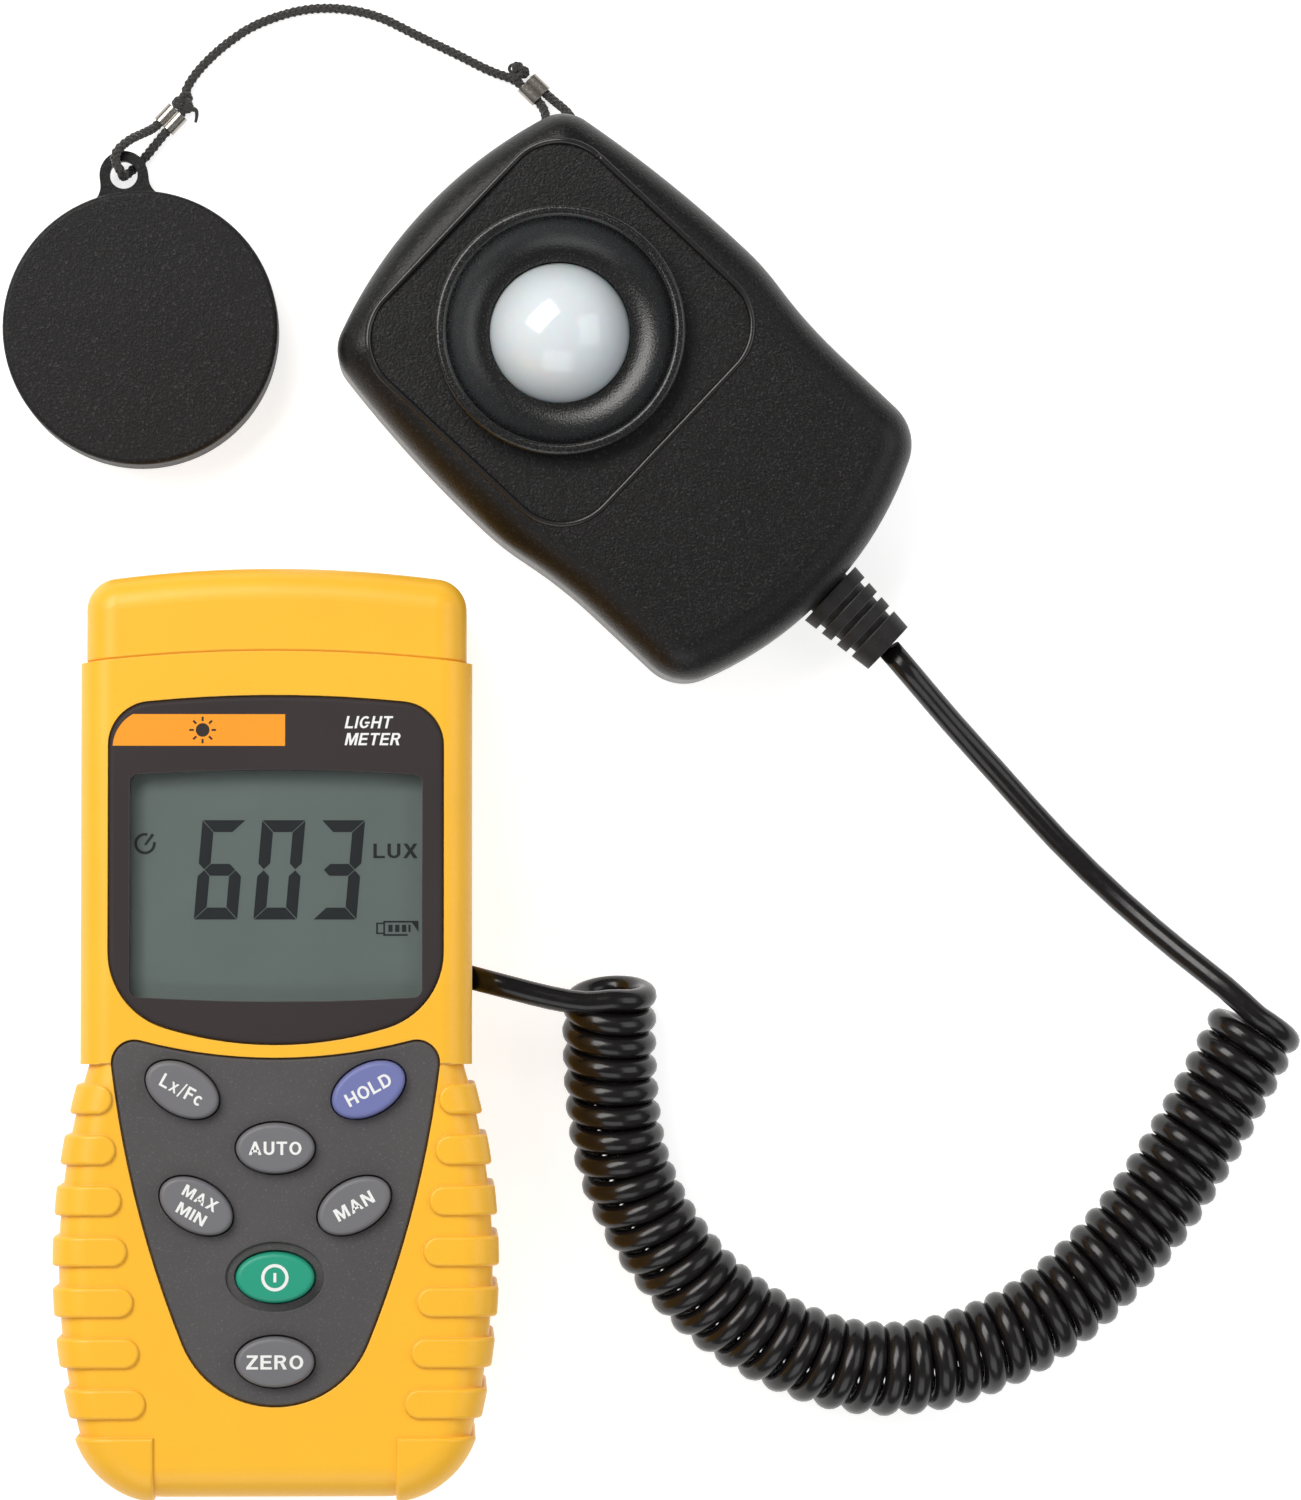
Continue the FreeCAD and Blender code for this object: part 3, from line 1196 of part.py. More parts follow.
def make_lens_cap():
    outer, bore = size_of("lens_cap_radius"), size_of("lens_cap_bore")
    tall, top, soft = size_of("lens_cap_height"), size_of("lens_cap_top"), size_of("lens_cap_round")
    curves = [line(bore, 0, outer, 0),
              line(outer, 0, outer, tall - soft),
              bow(outer - soft, tall - soft, soft, 0, 90),
              line(outer - soft, tall, 0, tall),
              line(0, tall, 0, tall - top),
              line(0, tall - top, bore, tall - top),
              line(bore, tall - top, bore, 0)]
    cup = revolved("cap_cup", curves)
    reach = math.hypot(size_of("eye_x - lens_cap_x"), size_of("eye_y - lens_cap_y"))
    tab_radius, shoulder = size_of("eye_tab_radius"), size_of("eye_tab_shoulder")
    root = size_of("eye_tab_root")
    flare = tab_radius + shoulder
    level = math.sqrt((outer + shoulder) ** 2 - flare ** 2)
    inward = math.atan2(-level, -flare)
    end_x, end_y = flare + shoulder * math.cos(inward), level + shoulder * math.sin(inward)
    right = [bow(0, reach, tab_radius, 0, 90),
             line(tab_radius, reach, tab_radius, level),
             bow(flare, level, shoulder, 180, 360 + math.degrees(inward)),
             line(end_x, end_y, end_x, root),
             line(end_x, root, 0, root)]
    tab = prism("eye_tab", both_sides(right), "eye_tab_low", "eye_tab_low + eye_tab_size")
    inside = rod("cap_inside", 0, 0, "-1", "lens_cap_height - lens_cap_top", "lens_cap_bore")
    eye = rod("cap_eye", 0, str(reach), "-1", "20", "eye_radius")
    whole = cut("lens_cap_cut", fuse("lens_cap_solid", [cup, tab]), fuse("lens_cap_holes", [inside, eye]))
    angle = math.degrees(math.atan2(size_of("eye_y - lens_cap_y"), size_of("eye_x - lens_cap_x"))) - 90
    whole.Placement = FreeCAD.Placement(Vector(size_of("lens_cap_x"), size_of("lens_cap_y"), 0),
                                        FreeCAD.Rotation(UP, angle))
    return keep(whole, "lens_cap")


def make_ferrule(name, x, y, angle):
    """Crimp sleeve of two joined barrels, one for each strand of the lanyard's loop."""
    spacing = size_of("lanyard_radius") + 0.025
    barrels, bores = [], []
    for side in (-1, 1):
        for pieces, kind, radius, grow in ((barrels, "barrel", "lanyard_radius + ferrule_skin", 0),
                                           (bores, "bore", "lanyard_radius + 0.015", 1)):
            start = Vector(-size_of("ferrule_long") / 2 - grow, side * spacing, 0)
            item = doc.addObject("Part::Cylinder", f"{name}_{kind}_{side + 1}")
            item.Placement = FreeCAD.Placement(start, FreeCAD.Rotation(Vector(0, 1, 0), 90))
            bind(item, Radius=radius, Height=f"ferrule_long + {2 * grow}")
            pieces.append(item)
    whole = cut(name + "_cut", fuse(name + "_barrels", barrels), fuse(name + "_bores", bores))
    whole.Placement = FreeCAD.Placement(Vector(x, y, size_of("ferrule_height")), FreeCAD.Rotation(UP, angle))
    return keep(whole, name)


# ---------------------------------------------------------------- assembly and export

def build_model():
    make_front_housing()
    make_battery_cover(make_rear_housing())
    make_top_cap()
    make_display()
    make_keypad_panel()
    for name in KEYS:
        make_key(name)
    make_keypad_mat()
    make_main_board()
    make_battery()
    make_screws()
    make_grommet()
    make_cords()
    make_wires()
    make_sensor_front()
    make_sensor_rear()
    make_collar()
    make_dome()
    make_sensor_inside()
    make_relief()
    make_sensor_wires()
    make_lens_cap()
    make_ferrule("ferrule_cap_end", -16.31, 132.02, 47.0)
    make_ferrule("ferrule_head_end", 36.27, 136.56, -44.0)


build_model()
doc.recompute()
for item in doc.Objects:
    if "Invalid" in item.State or "Error" in item.State:
        raise RuntimeError(f"{item.Label} did not compute: {item.State}")
for item in subparts:
    if item.Shape.isNull() or not item.Shape.isValid() or item.Shape.Volume <= 0:
        raise RuntimeError(f"{item.Label} has no valid shape")
for item in subparts:
    item.Shape.exportStep(f"parts/{item.Label}.step")
print(len(subparts), "sub-parts written")
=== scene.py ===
import math

import bpy
import numpy as np
from mathutils import Matrix, Vector
from mathutils.bvhtree import BVHTree


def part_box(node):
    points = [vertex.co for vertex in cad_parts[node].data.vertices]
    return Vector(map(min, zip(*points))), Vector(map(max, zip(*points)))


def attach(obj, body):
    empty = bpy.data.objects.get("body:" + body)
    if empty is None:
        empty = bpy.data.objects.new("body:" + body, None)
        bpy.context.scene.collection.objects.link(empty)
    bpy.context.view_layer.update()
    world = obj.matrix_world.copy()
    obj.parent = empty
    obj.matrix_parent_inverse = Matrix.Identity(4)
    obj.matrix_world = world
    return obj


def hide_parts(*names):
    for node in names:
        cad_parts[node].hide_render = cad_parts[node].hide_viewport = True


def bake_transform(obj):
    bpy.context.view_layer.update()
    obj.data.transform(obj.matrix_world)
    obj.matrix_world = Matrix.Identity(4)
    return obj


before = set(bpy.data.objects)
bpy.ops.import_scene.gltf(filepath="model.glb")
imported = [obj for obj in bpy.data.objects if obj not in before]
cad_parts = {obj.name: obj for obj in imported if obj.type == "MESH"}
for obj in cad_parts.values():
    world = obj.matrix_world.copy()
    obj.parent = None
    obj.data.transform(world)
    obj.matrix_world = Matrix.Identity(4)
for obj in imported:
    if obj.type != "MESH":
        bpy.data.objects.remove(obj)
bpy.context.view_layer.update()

# Looks of a hand-held light meter: its handset, the sensor head on a curly lead, and the lens cap on a lanyard.
# Sizes are in millimetres in the object's frame, and MM turns them into Blender's metres.

MM = 0.001

# ---------------------------------------------------------------- sizes

CAMERA_PLACE = (23.24, 10.06, 950.0)
CAMERA_AIM = (53.25, 40.71, 0.0)
CAMERA_LENS = 157.5
LIGHT_CENTRE = (52.0, 39.5, 20.0)
# direction, distance in metres, width, depth, power and colour of each light
LIGHTS = {
    "key": ((-0.464, 0.464, 0.755), 0.9, 0.8, 0.5, 8.0, (1.0, 0.985, 0.96)),
    "fill": ((0.75, 0.1, 0.65), 1.2, 1.0, 0.8, 4.0, (0.97, 0.985, 1.0)),
    "low_fill": ((-0.1, -0.75, 0.65), 1.2, 1.0, 0.8, 4.0, (0.97, 0.985, 1.0)),
}
SKY_STRENGTH = 0.25
FLOOR_REACH = 2500
FLOOR_LOW, FLOOR_HIGH = -2.0, -0.02
FLOOR_GLOW = 0.75

# The routes are the control points of smooth curves.
CORD_RADIUS = 1.7
CORD_SIDES = 14
COIL_RADIUS = 5.1
COIL_TURNS = 44
POINTS_PER_TURN = 15
METER_LEAD = ((26.9, 7.9, 14.0), (32.96, 6.3, 13.9), (38.66, 4.81, 12.9), (43.8, 3.95, 11.9))
COIL_AXIS = ((47.19, 6.3, 6.75), (46.65, -12.27, 6.75), (52.68, -28.64, 6.75), (65.25, -42.27, 6.75),
             (85.09, -49.94, 6.75), (105.04, -44.65, 6.75), (119.55, -33.05, 6.75), (131.79, -16.01, 6.75),
             (140.74, 1.63, 6.75))
SENSOR_LEAD = ((87.38, 54.94, 8.5), (91.21, 50.62, 7.6), (96.27, 45.0, 4.2), (103.44, 37.38, 1.9),
               (112.23, 27.48, 1.8), (121.35, 18.56, 3.4), (129.41, 11.3, 8.0), (135.7, 6.2, 11.3),
               (139.72, 2.29, 11.9))
# how far the turns lean along the coil's axis, per unit of height, at some of the turns
LEAN_AT_TURN = ((0, 1, 3, 20, COIL_TURNS), (0.35, 0.35, 0.26, 0.18, 0.0))

LANYARD = ((-15.84, 133.63, 1.1), (-18.22, 131.07, 1.1), (-19.6, 130.05, 2.4), (-22.3, 128.6, 4.4),
           (-24.6, 126.2, 5.1), (-23.1, 123.5, 5.2), (-23.1, 123.5, 0.8), (-20.2, 126.15, 0.78),
           (-17.4, 129.75, 1.05), (-14.47, 132.9, 1.1), (-14.38, 136.1, 0.9), (-12.35, 139.3, 0.75),
           (-8.6, 142.95, 0.75), (-3.61, 146.3, 0.75), (4.4, 148.63, 0.75), (12.8, 147.76, 0.75),
           (19.51, 144.29, 0.75), (25.13, 141.69, 0.75), (30.08, 139.12, 0.8), (33.0, 138.23, 0.95),
           (34.38, 137.34, 1.1), (37.19, 134.63, 1.1), (37.95, 133.2, 1.9), (38.1, 130.64, 3.2),
           (40.03, 127.99, 3.4), (42.43, 129.84, 3.4), (41.7, 132.44, 3.2), (40.0, 134.2, 1.9),
           (38.23, 135.71, 1.1), (35.71, 138.14, 1.1))

# Middle of each key, and how far it is turned in degrees.
KEYS = {
    "lux_fc": (-12.9, -7.7, -28.5),
    "hold": (12.9, -7.7, 28.5),
    "auto": (0.0, -15.8, 0.0),
    "max_min": (-10.95, -23.8, -29.5),
    "man": (10.95, -23.8, 29.5),
    "power": (0.0, -33.7, 0.0),
    "zero": (0.0, -45.4, 0.0),
}


# ---------------------------------------------------------------- lines, tubes and plates

def read_route(points, steps):
    """Points in metres along the smooth curve whose control points are given in millimetres."""
    curve = bpy.data.curves.new("route", "CURVE")
    curve.dimensions = "3D"
    curve.resolution_u = steps
    spline = curve.splines.new("NURBS")
    spline.points.add(len(points) - 1)
    for spot, place in zip(spline.points, points):
        spot.co = (*[size * MM for size in place], 1.0)
    spline.order_u = 3
    spline.use_endpoint_u = True
    holder = bpy.data.objects.new("route", curve)
    mesh = bpy.data.meshes.new_from_object(holder)
    line = np.array([vertex.co for vertex in mesh.vertices], float)
    bpy.data.meshes.remove(mesh)
    bpy.data.objects.remove(holder)
    bpy.data.curves.remove(curve)
    return line


def lengths_along(line):
    return np.concatenate([[0.0], np.cumsum(np.linalg.norm(np.diff(line, axis=0), axis=1))])


def even(line, step):
    """The line again, with points one step apart."""
    along = lengths_along(line)
    at = np.linspace(0, along[-1], max(2, int(round(along[-1] / step)) + 1))
    return np.stack([np.interp(at, along, line[:, axis]) for axis in range(3)], axis=1)


def frames_along(line):
    """Tangent of a line and two directions across it that don't twist, at each of its points."""
    tangent = np.gradient(line, axis=0)
    tangent /= np.linalg.norm(tangent, axis=1)[:, None]
    side = np.zeros_like(line)
    first = np.cross(tangent[0], (0.0, 0.0, 1.0))
    side[0] = first / np.linalg.norm(first)
    for here in range(1, len(line)):
        turned = side[here - 1] - tangent[here] * np.dot(side[here - 1], tangent[here])
        side[here] = turned / np.linalg.norm(turned)
    return tangent, side, np.cross(tangent, side)


def tube_geometry(line, radius, sides):
    """Vertices and faces of a closed round tube along a line. The radius is one number or one for each point."""
    _, side, up = frames_along(line)
    angles = np.linspace(0, 2 * math.pi, sides, endpoint=False)
    reach = np.broadcast_to(radius, len(line))[:, None, None]
    ring = np.cos(angles)[None, :, None] * side[:, None, :] + np.sin(angles)[None, :, None] * up[:, None, :]
    points = (line[:, None, :] + reach * ring).reshape(-1, 3)
    faces = []
    for row in range(len(line) - 1):
        for place in range(sides):
            a, b = row * sides + place, row * sides + (place + 1) % sides
            faces.append((a, b, b + sides, a + sides))
    last = (len(line) - 1) * sides
    faces.append(tuple(reversed(range(sides))))
    faces.append(tuple(range(last, last + sides)))
    return points, faces


def new_piece(name, parts, material, smooth=True):
    """An object made of several (points, faces) parts."""
    points, faces = [], []
    for part_points, part_faces in parts:
        first = len(points)
        points.extend(map(tuple, part_points))
        faces.extend(tuple(index + first for index in face) for face in part_faces)
    mesh = bpy.data.meshes.new(name)
    mesh.from_pydata(points, [], faces)
    mesh.validate()
    mesh.polygons.foreach_set("use_smooth", [smooth] * len(mesh.polygons))
    mesh.materials.append(material)
    piece = bpy.data.objects.new(name, mesh)
    bpy.context.scene.collection.objects.link(piece)
    return piece


def plate(outline, low, high):
    """A thin plate over a closed outline in millimetres, drawn anticlockwise."""
    count = len(outline)
    points = [(x * MM, y * MM, low * MM) for x, y in outline] + [(x * MM, y * MM, high * MM) for x, y in outline]
    faces = [tuple(reversed(range(count))), tuple(range(count, 2 * count))]
    faces += [(here, (here + 1) % count, (here + 1) % count + count, here + count) for here in range(count)]
    return points, faces


def rectangle(left, bottom, right, top):
    return [(left, bottom), (right, bottom), (right, top), (left, top)]


def arc_points(x, y, radius, start, stop, count=24):
    """Points on an arc between two angles in degrees."""
    return [(x + radius * math.cos(math.radians(angle)), y + radius * math.sin(math.radians(angle)))
            for angle in np.linspace(start, stop, count)]


def ring_plate(x, y, outer, inner, start, stop, low, high):
    """A thin plate shaped as part of a ring."""
    outline = arc_points(x, y, outer, start, stop) + arc_points(x, y, inner, stop, start)
    return plate(outline, low, high)


# ---------------------------------------------------------------- materials

def shade(red, green, blue):
    """A colour given as it looks on a screen, from 0 to 255, in the linear values that shaders take."""
    def linear(level):
        level /= 255
        return level / 12.92 if level <= 0.04045 else ((level + 0.055) / 1.055) ** 2.4
    return (linear(red), linear(green), linear(blue), 1.0)


def scaled(colour, factor):
    return tuple(min(1.0, level * factor) for level in colour[:3]) + (1.0,)


NOISE_BAND = (0.3, 0.7)
BROAD_PATCH = 14.0
EDGE_SAMPLES = 6
EDGE_BAND = (0.995, 0.86)
ROUGHNESS_SPREAD = 0.07
DARK_GRAIN = 0.6
SPECK = (150, 148, 150)


class Nodes:
    """Adds and joins the nodes of one material."""

    def __init__(self, name):
        self.material = bpy.data.materials.new(name)
        self.material.use_nodes = True
        self.tree = self.material.node_tree
        self.shader = self.tree.nodes["Principled BSDF"]

    def add(self, kind, **sockets):
        node = self.tree.nodes.new(kind)
        for name, value in sockets.items():
            self.feed(node.inputs[name.replace("_", " ")], value)
        return node

    def feed(self, socket, value):
        if isinstance(value, bpy.types.NodeSocket):
            self.tree.links.new(value, socket)
        else:
            socket.default_value = value

    def noise(self, size, detail=2.0, rough=0.5):
        """Noise whose features are about size millimetres across, fixed to the piece."""
        place = self.add("ShaderNodeTexCoord").outputs["Object"]
        node = self.add("ShaderNodeTexNoise", Vector=place, Scale=1 / (size * MM), Detail=detail, Roughness=rough)
        return node.outputs["Fac"]

    def ranged(self, value, low, high, to_low, to_high):
        node = self.add("ShaderNodeMapRange", Value=value, From_Min=low, From_Max=high, To_Min=to_low,
                        To_Max=to_high)
        return node.outputs["Result"]

    def mixed(self, factor, first, second):
        node = self.tree.nodes.new("ShaderNodeMix")
        node.data_type = "RGBA"
        self.feed(node.inputs[0], factor)
        self.feed(node.inputs[6], first)
        self.feed(node.inputs[7], second)
        return node.outputs[2]

    def edges(self, radius):
        """Rounded normal at sharp edges, and a mask that is 1 on those edges."""
        bevel = self.tree.nodes.new("ShaderNodeBevel")
        bevel.samples = EDGE_SAMPLES
        bevel.inputs["Radius"].default_value = radius * MM
        flat = self.tree.nodes.new("ShaderNodeNewGeometry").outputs["True Normal"]
        dot = self.tree.nodes.new("ShaderNodeVectorMath")
        dot.operation = "DOT_PRODUCT"
        self.feed(dot.inputs[0], bevel.outputs["Normal"])
        self.feed(dot.inputs[1], flat)
        return bevel.outputs["Normal"], self.ranged(dot.outputs["Value"], *EDGE_BAND, 0.0, 1.0)


def surface(name, colour, roughness, tint=0.07, grain=0.35, relief=0.02, strength=0.35, speckle=0.0, wear=0.12,
            edge=0.18, **uniform):
    """Moulded surface: broad and fine colour variation, a moulded grain, and paler worn edges.

    grain is the size of the texture in millimetres and relief its depth. speckle is the strength of its pale specks.
    edge is the radius of rounded edges, or 0 for sharp ones. uniform holds plain values of the shader's other sockets.
    """
    nodes = Nodes(name)
    broad, fine = nodes.noise(BROAD_PATCH), nodes.noise(grain, 3.0, 0.6)
    body = nodes.mixed(nodes.ranged(broad, *NOISE_BAND, 0.0, 1.0), colour, scaled(colour, 1 - tint))
    body = nodes.mixed(nodes.ranged(fine, 0.35, 0.7, 0.0, tint), body, scaled(colour, DARK_GRAIN))
    if speckle:
        body = nodes.mixed(nodes.ranged(fine, 0.58, 0.72, 0.0, speckle), body, shade(*SPECK))
    if edge:
        rounded, mask = nodes.edges(edge)
        if wear:
            worn = nodes.add("ShaderNodeMath", Value=nodes.ranged(broad, 0.35, 0.65, 0.3, 1.0))
            worn.operation = "MULTIPLY"
            nodes.feed(worn.inputs[1], mask)
            lighter = tuple(level + (1 - level) * wear for level in colour[:3]) + (1.0,)
            body = nodes.mixed(worn.outputs["Value"], body, lighter)
    smoothest, roughest = max(0.02, roughness - ROUGHNESS_SPREAD), min(1.0, roughness + ROUGHNESS_SPREAD)
    nodes.feed(nodes.shader.inputs["Base Color"], body)
    nodes.feed(nodes.shader.inputs["Roughness"], nodes.ranged(fine, *NOISE_BAND, smoothest, roughest))
    bump = nodes.add("ShaderNodeBump", Strength=strength, Distance=relief * MM, Height=fine)
    if edge:
        nodes.feed(bump.inputs["Normal"], rounded)
    nodes.feed(nodes.shader.inputs["Normal"], bump.outputs["Normal"])
    for socket, value in uniform.items():
        nodes.shader.inputs[socket.replace("_", " ")].default_value = value
    return nodes.material


def clear_pane():
    """Clear sheet that shows what is behind it and reflects a little more at a slant."""
    nodes = Nodes("clear_pane")
    through = nodes.add("ShaderNodeBsdfTransparent", Color=(0.93, 0.95, 0.94, 1.0))
    gloss = nodes.add("ShaderNodeBsdfGlossy", Roughness=nodes.ranged(nodes.noise(3.0), *NOISE_BAND, 0.04, 0.09))
    share = nodes.add("ShaderNodeFresnel", IOR=1.45)
    mix = nodes.add("ShaderNodeMixShader", Fac=share.outputs["Fac"])
    nodes.feed(mix.inputs[1], through.outputs["BSDF"])
    nodes.feed(mix.inputs[2], gloss.outputs["BSDF"])
    nodes.feed(nodes.tree.nodes["Material Output"].inputs["Surface"], mix.outputs["Shader"])
    return nodes.material


def metal(name, colour, roughness, brushed=0.3):
    """Metal with fine drawn lines and uneven polish."""
    nodes = Nodes(name)
    fine, broad = nodes.noise(brushed, 4.0, 0.65), nodes.noise(2.5)
    nodes.feed(nodes.shader.inputs["Base Color"],
               nodes.mixed(nodes.ranged(broad, *NOISE_BAND, 0.0, 1.0), colour, scaled(colour, 0.8)))
    nodes.shader.inputs["Metallic"].default_value = 1.0
    nodes.feed(nodes.shader.inputs["Roughness"], nodes.ranged(fine, *NOISE_BAND, roughness * 0.7, roughness * 1.4))
    rounded, _ = nodes.edges(0.08)
    bump = nodes.add("ShaderNodeBump", Strength=0.3, Distance=0.01 * MM, Height=fine, Normal=rounded)
    nodes.feed(nodes.shader.inputs["Normal"], bump.outputs["Normal"])
    return nodes.material


def ink(name, colour, roughness=0.5):
    """Thin print with slightly uneven colour."""
    return surface(name, colour, roughness, tint=0.03, relief=0.002, strength=0.05, wear=0.0, edge=0.0)


MATERIALS = {
    "orange": surface("orange_plastic", shade(244, 182, 40), 0.4, tint=0.05, grain=0.5, relief=0.03,
                      strength=0.25, wear=0.15),
    "bezel": surface("bezel_plastic", shade(56, 50, 51), 0.5, tint=0.08, grain=0.4, relief=0.01, strength=0.2,
                     Specular_IOR_Level=0.12),
    "keypad": surface("keypad_plastic", shade(72, 69, 70), 0.55, tint=0.16, grain=0.28, relief=0.05, strength=0.6,
                      speckle=0.22),
    "grey_key": surface("grey_rubber", shade(108, 107, 110), 0.48, tint=0.06, grain=0.25, relief=0.015),
    "blue_key": surface("blue_rubber", shade(108, 114, 168), 0.48, tint=0.06, grain=0.25, relief=0.015),
    "green_key": surface("green_rubber", shade(22, 150, 120), 0.45, tint=0.06, grain=0.25, relief=0.015),
    "mat": surface("mat_rubber", shade(120, 120, 122), 0.6),
    "carbon": surface("carbon_rubber", shade(28, 28, 28), 0.7),
    "pane": clear_pane(),
    "lcd": surface("lcd_glass", shade(140, 150, 148), 0.5, tint=0.08, grain=0.22, relief=0.0, strength=0.0,
                   speckle=0.14, wear=0.0),
    "ink": ink("lcd_ink", shade(10, 16, 28)),
    "white": ink("white_print", shade(228, 228, 226)),
    "strip": ink("strip_print", shade(240, 150, 26), 0.4),
    "dark_print": ink("dark_print", shade(34, 22, 16), 0.45),
    "white_plastic": surface("white_plastic", shade(225, 225, 218), 0.5),
    "board": surface("board_mask", shade(22, 96, 54), 0.35, tint=0.2, grain=0.8),
    "chip": surface("chip_epoxy", shade(34, 34, 36), 0.55),
    "jacket": surface("battery_jacket", shade(60, 66, 84), 0.3, Metallic=0.6),
    "head": surface("head_plastic", shade(16, 14, 14), 0.33, tint=0.3, grain=0.34, relief=0.09, strength=1.0,
                    speckle=0.1, wear=0.05, edge=0.12, Specular_IOR_Level=0.3),
    "lip": surface("lip_plastic", shade(26, 24, 24), 0.26, tint=0.2, grain=0.28, relief=0.02, wear=0.0, edge=0.0),
    "collar": surface("collar_plastic", shade(10, 9, 9), 0.24, tint=0.3, grain=0.32, relief=0.06,
                      strength=0.8, speckle=0.08, wear=0.02, edge=0.12, Specular_IOR_Level=0.6),
    "cap": surface("cap_plastic", shade(22, 20, 21), 0.45, tint=0.3, grain=0.38, relief=0.09, strength=1.0,
                   speckle=0.13, wear=0.08, Specular_IOR_Level=0.22),
    "relief": surface("relief_rubber", shade(28, 25, 25), 0.5, tint=0.2, grain=0.3, relief=0.06, strength=0.6,
                      speckle=0.05, Specular_IOR_Level=0.3),
    "cord": surface("cord_sheath", shade(20, 17, 18), 0.22, tint=0.25, grain=1.2, relief=0.02, strength=0.3,
                    wear=0.0, edge=0.0, Specular_IOR_Level=0.42),
    "braid": surface("lanyard_braid", shade(42, 40, 38), 0.75, tint=0.3, grain=0.12, relief=0.03, wear=0.0,
                     edge=0.0, Sheen_Weight=0.4),
    "opal": surface("opal_acrylic", shade(214, 221, 225), 0.14, tint=0.03, grain=2.0, relief=0.004, strength=0.1,
                    wear=0.0, Subsurface_Weight=0.35, Subsurface_Scale=0.002, Coat_Weight=0.5,
                    Coat_Roughness=0.03),
    "filter": surface("filter_glass", shade(96, 150, 110), 0.1),
    "steel": metal("screw_steel", shade(190, 190, 194), 0.32),
    "crimp": metal("crimp_nickel", shade(176, 170, 162), 0.24),
}

FINISHES = {
    "orange": ("front_housing", "rear_housing", "top_cap", "battery_cover"),
    "bezel": ("display_bezel",),
    "keypad": ("keypad_panel",),
    "grey_key": ("key_lux_fc", "key_auto", "key_max_min", "key_man", "key_zero"),
    "blue_key": ("key_hold",),
    "green_key": ("key_power",),
    "carbon": tuple("pill_" + name for name in KEYS),
    "mat": ("keypad_mat", "zebra_strips"),
    "pane": ("display_window",),
    "lcd": ("lcd_panel",),
    "white_plastic": ("lcd_frame",),
    "board": ("main_board", "sensor_board"),
    "chip": ("board_chips", "photodiode", "battery_snap"),
    "jacket": ("battery",),
    "head": ("sensor_front_cover", "sensor_rear_cover"),
    "collar": ("dome_collar",),
    "cap": ("lens_cap",),
    "relief": ("strain_relief", "cable_grommet"),
    "cord": ("cord_meter_lead", "cord_coil", "cord_sensor_lead", "lead_wires", "battery_wires", "sensor_wires"),
    "braid": ("lanyard_cord",),
    "opal": ("diffuser_dome",),
    "filter": ("colour_filter",),
    "steel": ("case_screws", "board_screws", "sensor_screws"),
    "crimp": ("ferrule_cap_end", "ferrule_head_end"),
}


def finish_cad_nodes():
    """Give every CAD node its material."""
    for finish, names in FINISHES.items():
        for name in names:
            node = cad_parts[name]
            node.data.materials.clear()
            node.data.materials.append(MATERIALS[finish])


# ---------------------------------------------------------------- camera, lights and floor

def add_camera():
    """A camera above the handset that is tilted until it looks at the middle of the whole set."""
    data = bpy.data.cameras.new("camera")
    data.lens = CAMERA_LENS
    data.clip_start, data.clip_end = 0.05, 10.0
    camera = bpy.data.objects.new("camera", data)
    back = (Vector(CAMERA_PLACE) - Vector(CAMERA_AIM)).normalized()
    right = Vector((0, 1, 0)).cross(back).normalized()
    camera.location = Vector(CAMERA_PLACE) * MM
    camera.rotation_euler = Matrix((right, back.cross(right), back)).transposed().to_euler()
    bpy.context.scene.collection.objects.link(camera)
    bpy.context.scene.camera = camera


def add_light(name, direction, distance, width, depth, power, colour):
    """A soft rectangular light that faces the middle of the object."""
    data = bpy.data.lights.new(name, "AREA")
    data.shape, data.size, data.size_y = "RECTANGLE", width, depth
    data.energy, data.color = power, colour
    light = bpy.data.objects.new(name, data)
    way = Vector(direction).normalized()
    light.location = Vector(LIGHT_CENTRE) * MM + way * distance
    light.rotation_euler = way.to_track_quat("Z", "Y").to_euler()
    bpy.context.scene.collection.objects.link(light)


def add_studio():
    add_camera()
    for name, light in LIGHTS.items():
        add_light(name, *light)
    world = bpy.data.worlds.new("studio")
    world.use_nodes = True
    world.node_tree.nodes["Background"].inputs["Color"].default_value = (1.0, 1.0, 1.0, 1.0)
    world.node_tree.nodes["Background"].inputs["Strength"].default_value = SKY_STRENGTH
    bpy.context.scene.world = world
    bpy.context.scene.view_settings.view_transform = "Standard"
    paper = surface("floor_paper", shade(190, 190, 189), 0.8, tint=0.01, wear=0.0, edge=0.0,
                    Emission_Color=(1.0, 1.0, 1.0, 1.0), Emission_Strength=FLOOR_GLOW)
    sheet = plate(rectangle(-FLOOR_REACH, -FLOOR_REACH, FLOOR_REACH, FLOOR_REACH), FLOOR_LOW, FLOOR_HIGH)
    floor = new_piece("floor", [sheet], paper, smooth=False)


# ---------------------------------------------------------------- curly lead

